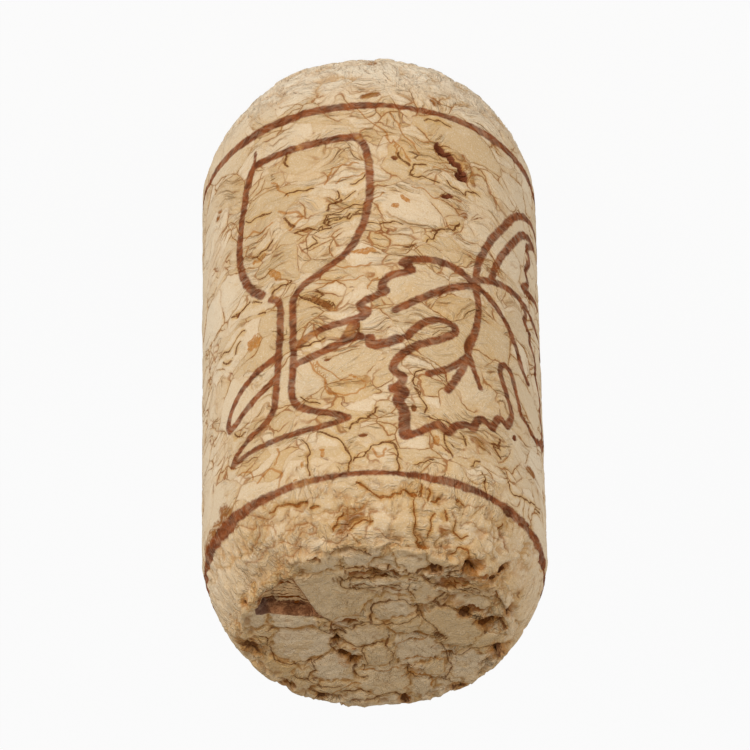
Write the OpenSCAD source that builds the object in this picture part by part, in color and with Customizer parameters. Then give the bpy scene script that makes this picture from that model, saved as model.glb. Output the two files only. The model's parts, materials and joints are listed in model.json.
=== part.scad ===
// Wine cork: a stopper moulded in one piece from bonded cork granules.
// It stands on its lower end: the origin is at the middle of that end, and +Z runs along the axis.
// Angles round the axis are counted from -Y, and grow towards +X.

/* [Stopper] */
// Diameter of the straight wall
wall_d = 24; // [20:0.5:32]
// Length from end face to end face
length = 44; // [34:1:54]

/* [Bevelled ends] */
// Length of each bevel along the axis
bevel_length = 5.6; // [4:0.1:7.5]
// Depth of each bevel, from the wall in to the end face
bevel_depth = 2.8; // [2:0.1:3.6]
// Roundness of each bevel: 1 is straight, 2 is a quarter of an ellipse
bevel_roundness = 1.3; // [1:0.1:2]

/* [Broken-out corner of the upper end] */
// Depth of the first terrace of the broken-out corner
terrace_step = 0.35; // [0.2:0.05:0.5]
// How far the broken-out corner stays inside the edge of the end face
corner_inset = 0.4; // [0.3:0.1:1]
// Distance from the axis to the inner tip of the broken-out corner
corner_reach = 4.3; // [3:0.1:5]

/* [Pits and chips] */
// Length of the slit in the wall
slit_length = 3; // [2:0.1:4]
// Width of the slit in the wall
slit_width = 0.7; // [0.5:0.1:1]
// Depth of the slit in the wall
slit_depth = 0.7; // [0.4:0.1:1]
// Height of the middle of the slit above the lower end
slit_height = 10.8; // [9:0.1:13]
// Width of the chips in the edge of the upper end
chip_width = 1.8; // [1:0.1:2.4]
// Depth of the chips in the edge of the upper end
chip_depth = 0.6; // [0.3:0.1:0.9]

/* [Hidden] */
$fn = 96;
wall_r = wall_d / 2;
face_r = wall_r - bevel_depth;
bevel_steps = 8;
terraces = 3;
// How far a cutting shape reaches past the surface that it cuts
overcut = 1;
// Angles of the tip, the outer corner and the inner corner of the broken-out corner
corner_tip = 42;
corner_outer = 66;
corner_inner = 69;
// Place and lean of the slit in the wall
slit_angle = -30;
slit_lean = -42;
slit_beads = 5;
// Pits in the upper end: [angle, distance in from the edge of the end face, width, depth]
end_pits = [[-34, 1.6, 1.5, 0.7], [-88, 1.9, 1.6, 0.8], [-97, 5, 1.1, 0.5], [144, 5.4, 1.2, 0.6]];
// Chips in the edge of the upper end, by angle
rim_chips = [-110, 101, 137];

// A point on the circle of radius r, at an angle counted from -Y
function polar(r, angle) = [r * sin(angle), -r * cos(angle)];

// A point part of the way from p to q
function between(p, q, share) = p + (q - p) * share;

// Radius and height, counted up from the lower end, of a point of the lower bevel
function bevel_point(turn) = [
    face_r + bevel_depth * pow(sin(turn), 2 / bevel_roundness),
    bevel_length * (1 - pow(cos(turn), 2 / bevel_roundness))
];

// Half of the stopper's section, from the axis out
module half_section() {
    lower = [for (i = [0:bevel_steps]) bevel_point(90 * i / bevel_steps)];
    upper = [for (i = [bevel_steps:-1:0]) [lower[i].x, length - lower[i].y]];
    polygon(concat([[0, 0]], lower, upper, [[0, length]]));
}

// A corner of one granule broken out of the upper end, in terraces that go down to its long side
module broken_corner() {
    tip = polar(face_r - corner_inset, corner_tip);
    outer = polar(face_r - corner_inset, corner_outer);
    inner = polar(corner_reach, corner_inner);
    for (i = [0:terraces - 1]) {
        share = i / terraces;
        depth = (i + 1) * terrace_step;
        translate([0, 0, length - depth])
            linear_extrude(depth + overcut)
                polygon([between(tip, outer, share), outer, inner, between(tip, inner, share)]);
    }
}

// A ball that cuts a pit of the given width and depth where its top touches the surface above z = 0
module pit_cutter(width, depth) {
    ball_r = (width * width / 4 + depth * depth) / (2 * depth);
    translate([0, 0, ball_r - depth]) sphere(r = ball_r);
}

// A row of balls that cuts the leaning slit in the wall
module wall_slit() {
    pitch = (slit_length - slit_width) / (slit_beads - 1);
    rotate([0, 0, slit_angle])
        translate([0, -wall_r, slit_height])
            rotate([90, 0, 0])
                rotate([0, 0, slit_lean])
                    for (i = [0:slit_beads - 1])
                        translate([(i - (slit_beads - 1) / 2) * pitch, 0, 0])
                            pit_cutter(slit_width, slit_depth);
}

// Small pits in the flat of the upper end
module upper_pits() {
    for (pit = end_pits) {
        place = polar(face_r - pit[1], pit[0]);
        translate([place.x, place.y, length]) pit_cutter(pit[2], pit[3]);
    }
}

// Flat chips off the edge where the upper end meets its bevel
module edge_chips() {
    for (angle = rim_chips)
        rotate([0, 0, angle])
            translate([0, -face_r, length])
                rotate([-45, 0, 0])
                    translate([-chip_width / 2, -wall_r, -chip_depth])
                        cube([chip_width, wall_r + overcut, chip_depth + overcut]);
}

module cork() {
    color([0.87, 0.75, 0.58])
        difference() {
            rotate_extrude() half_section();
            broken_corner();
            wall_slit();
            upper_pits();
            edge_chips();
        }
}

cork();
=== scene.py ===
"""A wine cork of bonded granules, printed with two rings, a wine glass and a vine leaf.

The cork stands on its lower end, as the frame says. Sizes are in millimetres until the mesh is made.
"""
import json
import math
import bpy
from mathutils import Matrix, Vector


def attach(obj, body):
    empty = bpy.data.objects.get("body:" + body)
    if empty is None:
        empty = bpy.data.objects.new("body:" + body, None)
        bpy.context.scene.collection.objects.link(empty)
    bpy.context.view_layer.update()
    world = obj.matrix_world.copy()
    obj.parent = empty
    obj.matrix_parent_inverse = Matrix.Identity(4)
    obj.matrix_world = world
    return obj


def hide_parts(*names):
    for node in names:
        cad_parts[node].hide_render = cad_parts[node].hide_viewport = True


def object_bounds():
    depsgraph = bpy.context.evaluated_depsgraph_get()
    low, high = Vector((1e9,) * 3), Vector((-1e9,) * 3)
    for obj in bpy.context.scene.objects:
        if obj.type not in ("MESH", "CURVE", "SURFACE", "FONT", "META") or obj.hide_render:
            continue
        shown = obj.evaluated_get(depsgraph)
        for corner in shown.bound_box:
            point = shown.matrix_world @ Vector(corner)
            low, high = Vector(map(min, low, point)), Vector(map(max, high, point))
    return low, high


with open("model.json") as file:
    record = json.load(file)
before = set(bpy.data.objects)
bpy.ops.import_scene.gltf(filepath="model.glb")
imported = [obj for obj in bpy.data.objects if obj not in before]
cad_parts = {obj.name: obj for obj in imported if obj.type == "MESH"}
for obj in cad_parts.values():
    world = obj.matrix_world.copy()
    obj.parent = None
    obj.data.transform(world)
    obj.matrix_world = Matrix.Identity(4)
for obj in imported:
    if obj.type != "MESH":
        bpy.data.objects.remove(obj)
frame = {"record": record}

from types import SimpleNamespace

import bpy
import numpy as np
from mathutils import Matrix, Vector

cad_low, cad_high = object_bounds()
MM = 0.001
HALF = (0.5, 0.5, 0.5)

# ---------------------------------------------------------------- sizes from the frame
mounts = {mount["name"]: mount for mount in frame["record"]["mounts"]}
LENGTH = cad_high.z / MM
WALL_R = mounts["bottle_neck"]["dims"]["r_mm"]
WALL_LENGTH = mounts["bottle_neck"]["dims"]["length_mm"]
BEVEL_LENGTH = (LENGTH - WALL_LENGTH) / 2
MIDDLE = LENGTH / 2
BEVEL_DEPTH = 2.8
BEVEL_ROUNDNESS = 1.3
FACE_R = WALL_R - BEVEL_DEPTH


def srgb(red, green, blue):
    """A colour given as 0 to 255 display values, as the linear values that shaders take."""
    levels = [channel / 255 for channel in (red, green, blue)]
    linear = [v / 12.92 if v <= 0.04045 else ((v + 0.055) / 1.055) ** 2.4 for v in levels]
    return (*linear, 1.0)


# ---------------------------------------------------------------- the print
# Points are (right, up) in mm on the unrolled wall, as the print reads: right runs towards -X from
# the side that faces -Y, and up runs down the standing cork, counted from its middle.
# A ring is its height, and its widths at even steps round the wall from right = -37.7.
RINGS = [
    (15.27, [
        0.7, 0.6, 0.7, 0.8, 0.6, 0.7, 0.5, 0.7, 0.8, 0.75, 0.7, 0.45, 0.5, 0.72, 0.7, 0.72, 0.6, 0.7,
        0.8, 0.6, 0.7, 0.6,
    ]),
    (-17.46, [
        0.7, 0.8, 0.6, 0.7, 0.8, 0.7, 0.9, 1.1, 0.62, 0.5, 0.38, 0.36, 0.62, 0.5, 0.66, 0.85, 0.8, 0.7,
        0.6, 0.8, 0.7, 0.7,
    ]),
]

# Each stroke is its width and the points that its smooth curve passes through.
GLASS = [
    (0.68, [(-8.9, 12.45), (-6.5, 12.35), (-4, 12.3), (-0.7, 12.4)]),
    (0.58, [(-0.7, 12.4), (-0.2, 11.4), (0.05, 9.8), (0.1, 7.7), (-0.1, 5.8), (-0.5, 4.1), (-1.1, 2.7),
            (-1.8, 1.7), (-2.9, 0.8), (-4.2, 0), (-5, -0.55), (-5.5, -1.2), (-5.6, -2.4), (-5.6, -7),
            (-5.75, -9.2), (-5.55, -10.4), (-4.9, -11.2), (-3.8, -11.8), (-2.6, -12.3), (-1.7, -12.8)]),
    (0.5, [(-1.7, -12.8), (-2.8, -13.1), (-5.1, -13.2), (-8, -13.1), (-11.2, -13.1)]),
    (0.6, [(-11.3, -13), (-10.6, -12.4), (-9.4, -11.8), (-8.2, -11.4), (-7.4, -10.7), (-7.1, -9.6),
           (-6.9, -7.5), (-6.65, -4), (-6.6, -2), (-6.8, -1), (-7.4, -0.5)]),
    (0.7, [(-8.2, 0.2), (-8.9, 0.9), (-9.5, 1.8), (-10.1, 3.1), (-10.4, 4.6), (-10.4, 6.3), (-10.2, 7.9),
           (-9.9, 9.5), (-9.6, 10.9), (-9.2, 12.1)]),
    (0.3, [(-8.75, 13.6), (-8.85, 12.8)]),
]
SMALL_LEAF = [
    (0.62, [(-6.9, -5.95), (-8, -6.2), (-9.3, -6.65), (-10.5, -7.35), (-11.4, -8.3), (-11.8, -9.3),
            (-11.5, -9.8), (-10.7, -9.65), (-9.7, -9.1), (-8.4, -8.4), (-7, -7.7)]),
]
STALK = [
    (0.62, [(-5.1, -5.4), (-4, -4.85), (-3, -4.55), (-2, -4.35), (-1, -4.1), (-0.4, -3.7)]),
    (0.66, [(-5.5, -7.2), (-4, -6.85), (-3, -6.5), (-2, -6.1), (-1, -5.7)]),
    (0.8, [(-1.2, -4.6), (-1.5, -5.2), (-1.8, -5.9)]),
    (0.7, [(-1.5, -5.4), (-0.7, -5.75)]),
    (0.8, [(-0.1, -5.9), (0.1, -6.5), (1, -6.3), (1.9, -5.85)]),
]
VINE_LEAF = [
    (0.64, [(7.6, 0.9), (6.6, 1.4), (5.4, 1.65), (4.2, 1.6), (3.1, 1.4), (2.3, 1), (2.8, 0.7),
            (2.9, 0.35), (2.4, 0.1), (1.6, -0.2), (1, -0.8), (0.8, -1.4), (1.1, -1.7), (0.4, -2.1),
            (-0.4, -2.6), (-0.7, -3), (-0.2, -3.5), (-0.6, -4)]),
    (0.6, [(7.7, 0.55), (6.4, -0.1), (5, -1), (3.6, -2), (2.5, -2.8), (1.7, -3.35)]),
    (0.64, [(2.5, -5.6), (3.2, -4.7), (4, -4), (5, -3.6), (5.9, -3.75), (6.1, -4.3), (5.4, -5),
            (4.2, -5.75), (2.9, -6.5), (2, -7.4), (1.5, -8.3), (1.7, -8.9), (2.2, -9.2), (2, -9.8),
            (1.5, -10.4)]),
    (0.85, [(1.5, -10.3), (2.2, -10.5), (1.8, -11.3), (2.2, -12.2), (2.2, -13.3), (2.2, -14.3)]),
    (0.62, [(2.2, -14.4), (3.2, -13.9), (4.1, -13.2), (4.8, -12.9), (5.3, -13.4), (5.9, -12.7),
            (6.8, -12.2), (7.4, -12.3), (7.7, -11.5), (8.3, -11.1), (9.1, -11.4), (9.5, -10.6),
            (10, -10.1), (10.6, -10.4), (11, -9.8)]),
    (0.56, [(11, -9.9), (11.2, -8.9), (10.8, -7.8), (10.3, -6.8), (10.05, -5.8), (10.4, -5.15),
            (11.1, -5.2), (11.6, -6), (12, -7.2), (12.6, -8.2), (13.7, -8.6), (14.9, -8.8), (15.8, -8.4),
            (16.9, -8.2)]),
    (0.6, [(7.9, 0.6), (8.15, -0.8), (8.05, -2.2), (7.75, -3.6), (7.3, -5), (7, -6.2), (6.6, -7.4),
           (6, -8.6), (5.4, -9.7)]),
    (0.56, [(6.9, -6.3), (6, -7.3), (4.9, -8.1), (4, -8.6)]),
    (0.5, [(7.2, -5.9), (7.6, -7.1), (8.1, -8.4)]),
    (0.6, [(8.2, 0.6), (9.4, 0.1), (10.5, -0.7), (11.6, -1.8), (12.4, -3), (12.9, -4), (13.7, -4.5)]),
    (0.62, [(7.95, 1.2), (8.25, 2.8), (8.95, 4.4), (9.7, 5.9), (10.7, 7.3), (11.7, 8.7), (12.8, 9.95),
            (14.3, 10.9), (15.8, 11.3), (17.4, 11.2)]),
    (0.62, [(9.4, 1.9), (9.9, 3.2), (10.5, 4.6), (11.4, 6), (12.4, 7.4), (13.5, 8.7), (14.9, 9.4),
            (16.6, 9.6)]),
    (0.6, [(8, 1.2), (9.4, 1.8), (11, 2.2), (13.2, 2.35), (15.2, 2), (17, 1.6), (18.6, 0.9)]),
    (0.52, [(16.5, 9.6), (15.2, 8.9), (14.3, 8.1), (14.9, 7.4), (14.3, 6.4), (14, 5.6), (14.3, 4.8),
            (13.4, 3.8), (15, 4.1), (17, 4.6)]),
    (0.52, [(13.3, 2.2), (13.8, 1.4), (13.4, 0.8), (14.4, 0.3), (14.3, -0.6), (15.3, -1.4), (15.6, -3),
            (16.6, -4), (16.4, -5.5), (16.9, -7), (16.2, -8.2)]),
    (0.56, [(17.4, 11.2), (19.4, 10.4), (20.6, 8.6), (20.1, 6.6), (21.3, 4.6), (20.5, 2.4), (21.1, 0.2),
            (19.8, -2), (20, -4.4), (18.4, -6), (16.9, -8.2)]),
]
STROKES = GLASS + SMALL_LEAF + STALK + VINE_LEAF

# Places where the ink is thin, as (right, up), half length, half width and lean in degrees
THIN_INK = [
    ((-5, 12.4), 0.5, 0.6, 0), ((-5, -17.5), 1.2, 0.6, 0), ((0.1, 9.8), 0.4, 0.9, 0),
    ((-7.1, -0.3), 0.7, 0.5, 0), ((-4.6, -5.1), 1.2, 0.5, 20), ((-1.5, -5.1), 0.6, 0.8, 0),
    ((-0.6, 12.3), 0.5, 0.5, 0),
]

# Hollows of the wall: (right, up), half length, half width, lean in degrees, depth, darkness
HOLLOWS = [
    ((5.3, 12), 0.65, 0.4, -62, 0.5, 1), ((5.85, 11.65), 0.36, 0.26, 0, 0.4, 1),
    ((6.2, 11.45), 0.6, 0.32, -62, 0.5, 1), ((6.6, 11.1), 0.36, 0.16, 0, 0.3, 1),
    ((6.95, 10.9), 0.55, 0.26, -80, 0.45, 1), ((6.9, 10.2), 0.46, 0.38, 0, 0.5, 1),
    ((7.35, 10.3), 0.24, 0.42, 0, 0.4, 1), ((5.8, 7.95), 0.55, 0.2, 20, 0.35, 1),
    ((1.9, 10.5), 0.24, 0.2, 0, 0.25, 0.8), ((-3.4, -2.3), 1.1, 0.24, -42, 0.25, 0.5),
    ((7.2, -4.9), 0.95, 0.3, 72, 0.25, 0.75), ((11.6, -10.8), 0.3, 0.2, 40, 0.3, 1),
    ((-0.65, -14.35), 0.34, 0.15, 0, 0.2, 0.8), ((-10.6, -0.1), 0.3, 0.15, 20, 0.2, 0.9),
    ((12.6, -20.8), 0.8, 0.3, 50, 0.5, 1), ((2.9, -11.8), 0.2, 0.3, 0, 0.2, 0.7),
    ((-3.05, -7.45), 0.3, 0.14, 0, 0.15, 0.7),
]
# Flat orange stains and soft brown patches of the wall: (right, up), half length, half width, lean
STAINS = [
    ((-8.95, -3.6), 0.72, 0.66, 0), ((-7.1, 1.6), 0.95, 0.34, -50), ((-8.4, 3.65), 0.75, 0.28, 10),
    ((-0.4, 1.9), 1, 0.3, 8), ((1.9, 6.1), 0.4, 0.24, 30), ((2.6, 6.8), 0.5, 0.22, -40),
    ((-3.5, -15.6), 0.16, 0.28, 0), ((4.45, -14.3), 0.25, 0.42, 0), ((-5, -16.1), 0.16, 0.32, 0),
    ((-3.55, -15.15), 0.22, 0.14, 0), ((-5.65, -17.1), 0.22, 0.13, 0), ((-1.1, -9.3), 1.1, 0.14, -35),
]
PATCHES = [
    ((7.4, 11.6), 0.9, 0.4, -45), ((7.95, 10.4), 0.9, 0.3, -85), ((6.9, 6.7), 0.5, 0.6, 0),
    ((-1.9, -20.3), 1.6, 0.6, 25), ((13.8, -12.4), 1, 0.4, 10), ((-14.6, -16.9), 2.6, 0.6, 0),
    ((8, -13.2), 1.2, 0.6, -10), ((5.8, -20.6), 0.7, 0.4, 0), ((10, -21.5), 0.8, 0.35, 10),
    ((3.8, -18.4), 0.7, 0.3, 0), ((-13.2, 10.8), 0.6, 0.4, 60), ((0.5, 20.9), 0.4, 0.5, 0),
    ((-12.3, -16.4), 1.2, 0.5, -30), ((0.2, 16.2), 1, 0.3, 10), ((5, 16.4), 0.4, 0.5, 0),
]
# Brown patches of the upper end: (right, up) from its middle, half length, half width, lean
END_PATCHES = [
    ((4.9, 3.1), 1.5, 0.5, -15), ((7.5, 0.6), 1.1, 0.5, -25), ((7.3, 5.2), 0.5, 1.1, 20),
    ((2.6, -5.2), 0.6, 0.8, 0), ((-2.2, -3.9), 0.5, 0.8, 10),
]
# Thin dark cracks and tan seams of the wall and its bevels, drawn like the print's strokes
CRACKS = [
    (0.13, [(-9.6, 7.7), (-9.2, 7.5), (-8.3, 7.4), (-7.6, 7.4)]),
    (0.12, [(-6.1, 8.25), (-5.2, 8.4), (-4.6, 8.25), (-4, 8.1)]),
    (0.1, [(-1.2, 8.15), (-0.8, 8.3), (-0.3, 8.6)]),
    (0.1, [(-2.2, 7.4), (-1.7, 6.8), (-1, 7.3)]),
    (0.16, [(-2.8, 6.1), (-2.6, 6.5), (-2, 6.65)]),
    (0.16, [(-6.2, 6.2), (-5.8, 5.6), (-5.5, 5.3)]),
    (0.1, [(-3.2, 5.1), (-3, 5.4), (-2.4, 5.6), (-1.6, 5.9), (-0.8, 6.1), (-0.3, 6.3)]),
    (0.1, [(-3.3, 4.9), (-2.6, 5.1), (-1.2, 5.3), (-0.5, 5.6)]),
    (0.12, [(-3.4, 4.6), (-2.8, 4.75), (-1.5, 5), (-0.6, 5.2)]),
    (0.16, [(-5.2, 4.7), (-4.5, 4.6), (-3.8, 4.35), (-2.8, 4.35)]),
    (0.16, [(-8.8, 4.1), (-8.3, 4), (-7.9, 4.1), (-7.5, 4.4), (-7.3, 4.7)]),
    (0.2, [(-6.05, 11.9), (-6.05, 11.4), (-5.95, 11.1)]),
    (0.12, [(-3.9, 3.6), (-3.8, 3.2), (-4.2, 2.9), (-4.6, 2.9)]),
    (0.22, [(2.2, 10.9), (2.45, 10.4), (2.7, 10.1)]),
    (0.12, [(3.1, 9.1), (3.5, 9), (5, 9)]),
    (0.14, [(3.1, 9.2), (3.2, 9.9), (3.6, 10.2), (4, 10.3)]),
    (0.14, [(5.8, 9.1), (6, 8.8), (6.8, 8.8), (7.3, 8.7), (7.5, 9), (8.5, 9.1)]),
    (0.1, [(0.2, 4.4), (1, 4.5), (2.3, 4.5)]),
    (0.14, [(4.8, 4.5), (5.3, 4.7), (5.9, 4.9), (6.2, 5.2), (6.6, 5.6)]),
    (0.12, [(4.2, 3.2), (4.6, 3.8), (4.8, 4.2)]),
    (0.2, [(2.7, 2.55), (3.1, 2.7)]),
    (0.12, [(4.1, 14.4), (4.4, 14.6), (5, 14.6), (6, 14.4)]),
    (0.16, [(-7.1, 0.05), (-6.6, 0.2), (-6, 0.4)]),
    (0.14, [(-11.3, 0.1), (-10.7, -0.1), (-10.2, 0.1), (-9.5, 0.3)]),
    (0.14, [(-8.9, 0), (-8.3, -0.4)]),
    (0.14, [(-8.5, -1.3), (-8, -1.55)]),
    (0.12, [(-13, -2.45), (-12.2, -2.45), (-11.4, -2.6), (-11.1, -2.3), (-10.6, -2), (-10, -2)]),
    (0.12, [(-10.5, -2.8), (-10.75, -3), (-10.85, -3.3)]),
    (0.14, [(-12.5, -3.1), (-12, -3.4), (-11.6, -3.75)]),
    (0.12, [(-5, -1.1), (-4.4, -1.7), (-3.9, -2.2), (-3.4, -2.4), (-2.9, -2.8)]),
    (0.12, [(-3.9, -1.9), (-3.3, -2.1), (-2.8, -2.4), (-2.6, -2.9)]),
    (0.2, [(-3.8, -1.3), (-3.4, -1.55)]),
    (0.16, [(-5.2, -5.6), (-4.6, -5.75), (-4.1, -5.8), (-3.4, -5.5)]),
    (0.2, [(-0.8, -4.8), (-0.75, -5.3)]),
    (0.12, [(-5, -10.2), (-4.6, -10.7), (-4.2, -11), (-3.8, -11.2)]),
    (0.14, [(-11, -10.4), (-10.5, -10.95), (-10, -11.1)]),
    (0.14, [(-1.5, -13.6), (-0.9, -13.2), (-0.5, -12.9), (0, -12.4), (0.4, -12)]),
    (0.12, [(-3.7, -13.6), (-3.1, -13.95), (-2.6, -14.4), (-1.9, -15.3), (-1.6, -16.2), (-1.65, -17)]),
    (0.1, [(-4.9, -14.1), (-4.6, -14.6), (-4.5, -15.2), (-4.5, -16), (-4.6, -17)]),
    (0.12, [(-1.3, -16.2), (-0.7, -16.1), (0.3, -15.2), (1.1, -14.9), (1.75, -15.9), (1.7, -17.1)]),
    (0.14, [(-1.1, -18.2), (0, -18.75), (0.5, -19), (1.2, -19.1), (1.8, -18.7), (2.1, -18.5),
            (3, -18.9)]),
    (0.16, [(-8, -18.5), (-6.3, -18.5), (-5.8, -18.7), (-5.2, -18.8)]),
    (0.1, [(3, -19.2), (3.1, -19.9), (3.2, -20.5), (3.4, -21), (3.9, -21.5), (4.4, -21.9)]),
    (0.12, [(4.65, -19.8), (4.4, -20.2), (4.5, -21)]),
    (0.18, [(-4.65, -19.3), (-4.3, -19.3)]),
    (0.12, [(-3.2, -20.7), (-2.9, -20.3), (-2.4, -20)]),
    (0.12, [(3.4, -18.2), (3.5, -18.7)]),
    (0.12, [(4, -18.2), (4.1, -18.8)]),
    (0.18, [(4.55, -18.9), (4.85, -18.8)]),
    (0.12, [(5.4, -19.6), (5.7, -19.9)]),
    (0.14, [(6.45, -18.5), (6.7, -18.65)]),
    (0.1, [(6.5, -20), (6.6, -20.4), (7, -20.6), (7.6, -20.5)]),
    (0.12, [(7.3, -21.6), (7.6, -21.2), (8.3, -21.3), (9.1, -21.4)]),
    (0.14, [(10.5, -18.8), (10.8, -18.65)]),
    (0.18, [(3.7, -21.7), (4.2, -21.8), (4.6, -21.7)]),
    (0.12, [(-0.3, -20.6), (-1, -20.4), (-1.9, -21)]),
    (0.12, [(2.95, -9.7), (3.05, -9), (3.25, -8.5), (3.6, -8.3)]),
    (0.12, [(3, -10.1), (3.3, -10.4), (3.6, -11), (3.8, -11.7), (3.6, -12.1)]),
    (0.12, [(4, -12.4), (4.8, -12.5), (5.4, -12.6)]),
    (0.14, [(5.2, -13.6), (5.1, -14.2), (5.3, -14.8), (5.5, -15.2)]),
    (0.14, [(6.3, -13.2), (6.6, -13.6), (6.8, -13.9)]),
    (0.2, [(9.1, -12.9), (9.6, -12.7), (9.8, -12.3)]),
    (0.16, [(9.4, -13.2), (9.8, -13.5)]),
    (0.12, [(9.9, -14.8), (10.4, -14.9), (11, -15.9), (12.5, -15.6), (13.5, -15.2), (15, -14.9)]),
    (0.14, [(7.3, -15.5), (7.5, -15.1), (7.8, -15)]),
    (0.14, [(8.1, -16), (8.3, -16.6), (8.5, -17)]),
    (0.1, [(2.9, -16.6), (3.5, -16.4), (4, -16.1)]),
]
SEAMS = [
    (0.14, [(-7.2, 9.8), (-6.7, 9.3), (-6.3, 8.6), (-6.1, 8.2)]),
    (0.16, [(-3, 8.6), (-2.9, 9.2), (-2.4, 9.7), (-1.9, 9.95), (-1, 9.9)]),
    (0.12, [(-2.2, 8.3), (-1.8, 8.6), (-1.2, 8.8), (-0.3, 8.9)]),
    (0.2, [(-9.6, 6.2), (-8.9, 6.3), (-8.2, 6.1), (-7.4, 6.2)]),
    (0.22, [(-4.8, 5.9), (-5.2, 5.5), (-5.5, 5.3)]),
    (0.3, [(-6.4, 6.9), (-6.1, 6.8), (-5.6, 6.5), (-5.1, 6.3), (-4.8, 5.9)]),
    (0.14, [(0.2, 13.7), (1, 13.1), (1.5, 12.2), (1.9, 11.5), (2, 11)]),
    (0.14, [(-0.6, 14.8), (-0.1, 14), (0.5, 13.4), (1.2, 13)]),
    (0.14, [(1.7, 14.5), (2.3, 13.2), (2.9, 12.3), (3.6, 11.4)]),
    (0.14, [(2, 11.9), (2.5, 11.3), (2.9, 10.3)]),
    (0.1, [(4.7, 12.2), (4.9, 11.4), (5.6, 10.8), (6.3, 10.5)]),
    (0.1, [(4.8, 10.15), (5.6, 10.2), (6.3, 10)]),
    (0.12, [(3, 8.1), (3.8, 7.9), (4.4, 7.6), (5.2, 7.3)]),
    (0.12, [(-3.7, -0.5), (-2.5, -0.6), (-1.5, -0.7), (-0.7, -0.4)]),
    (0.16, [(-4.4, -7.3), (-4, -7.9), (-3.5, -8.9), (-2.9, -10.3), (-1.6, -10.85), (-0.6, -10.2)]),
    (0.14, [(-3.8, -7.5), (-3.4, -8.1), (-2.9, -8.7), (-2.3, -9.2), (-1.6, -9.4)]),
    (0.25, [(-8.4, -15.9), (-7.4, -15.4), (-6.9, -15.8), (-6.7, -16.4), (-6.9, -17)]),
    (0.2, [(-6.9, -14.3), (-7, -15)]),
    (0.14, [(-10.6, -14.4), (-9.8, -14.4), (-9.3, -14.8), (-9.2, -15.3)]),
    (0.16, [(0.15, -15.9), (0.4, -16.3), (0.8, -16.1), (0.8, -15.7)]),
    (0.14, [(0.3, 6.6), (0.9, 7.1)]),
    (0.16, [(-2.2, 0.8), (-1.3, 0.5), (-0.6, 0.5), (0, 0.8)]),
    (0.14, [(-0.05, -1.5), (0, -1), (0.4, -0.5)]),
    (0.25, [(-12, -17.9), (-11, -18.3), (-10.2, -18.75), (-9.8, -18.7)]),
    (0.3, [(-9.7, -18), (-9.3, -18.4), (-8.6, -18.8), (-8.1, -18.8)]),
    (0.3, [(-11, -19.85), (-10.3, -19.9), (-9.9, -19.8), (-9.5, -19.3)]),
    (0.3, [(-12, -20.5), (-11, -20.6), (-10.2, -20.6), (-9.5, -20.45), (-8.7, -20.4)]),
    (0.25, [(-9, -19.2), (-8.5, -19.5), (-8.2, -19.9)]),
    (0.25, [(-7, -20), (-6, -20.05), (-5.2, -20), (-4.8, -20.3)]),
    (0.2, [(-8, -20.6), (-7, -20.9), (-6.2, -20.6), (-5, -20.7)]),
    (0.25, [(-9.3, -21.2), (-8.5, -21.4), (-7.6, -21.45), (-6.5, -21.2)]),
    (0.2, [(-10, -21.6), (-9, -21.7), (-8, -21.8)]),
    (0.2, [(-5.9, -19), (-5.5, -19.1)]),
    (0.15, [(-4.9, -18.7), (-4.1, -18.5)]),
    (0.15, [(-3.6, -19.6), (-3, -19.75)]),
    (0.2, [(-3, -19.9), (-2.4, -19.6), (-1.6, -19.7), (-0.9, -19.6)]),
    (0.25, [(-3, -21), (-2.3, -20.9), (-1.6, -20.5), (-0.9, -20.2)]),
    (0.25, [(-2.6, -20.9), (-2.2, -20.4), (-2, -20)]),
    (0.3, [(-0.6, -21.1), (-0.4, -20.5), (-0.3, -20.1), (0.1, -20)]),
    (0.2, [(-4.3, -21.4), (-3, -21.5), (-2, -21.3), (-1.4, -21.6)]),
    (0.15, [(0.1, -21.1), (0.5, -21.2), (1.2, -21.5)]),
    (0.2, [(3.4, -18.2), (3.6, -18.7), (3.9, -19.2), (3.8, -19.6)]),
    (0.2, [(2.4, -18.6), (2.9, -18.85), (3.6, -19)]),
    (0.3, [(3.3, -20.6), (3.6, -21), (4.1, -21.4), (4.7, -21.6)]),
    (0.2, [(6.1, -19.5), (6.6, -19.8)]),
    (0.15, [(7.2, -19.8), (8, -19.6), (9.5, -19.65), (10.4, -19.6)]),
    (0.2, [(6.9, -18.8), (7.6, -18.5), (8.3, -18.2)]),
    (0.4, [(10.9, -19.1), (11.5, -19.5), (12, -19.7)]),
    (0.3, [(5.8, -21.6), (6.4, -21.4)]),
]
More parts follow.
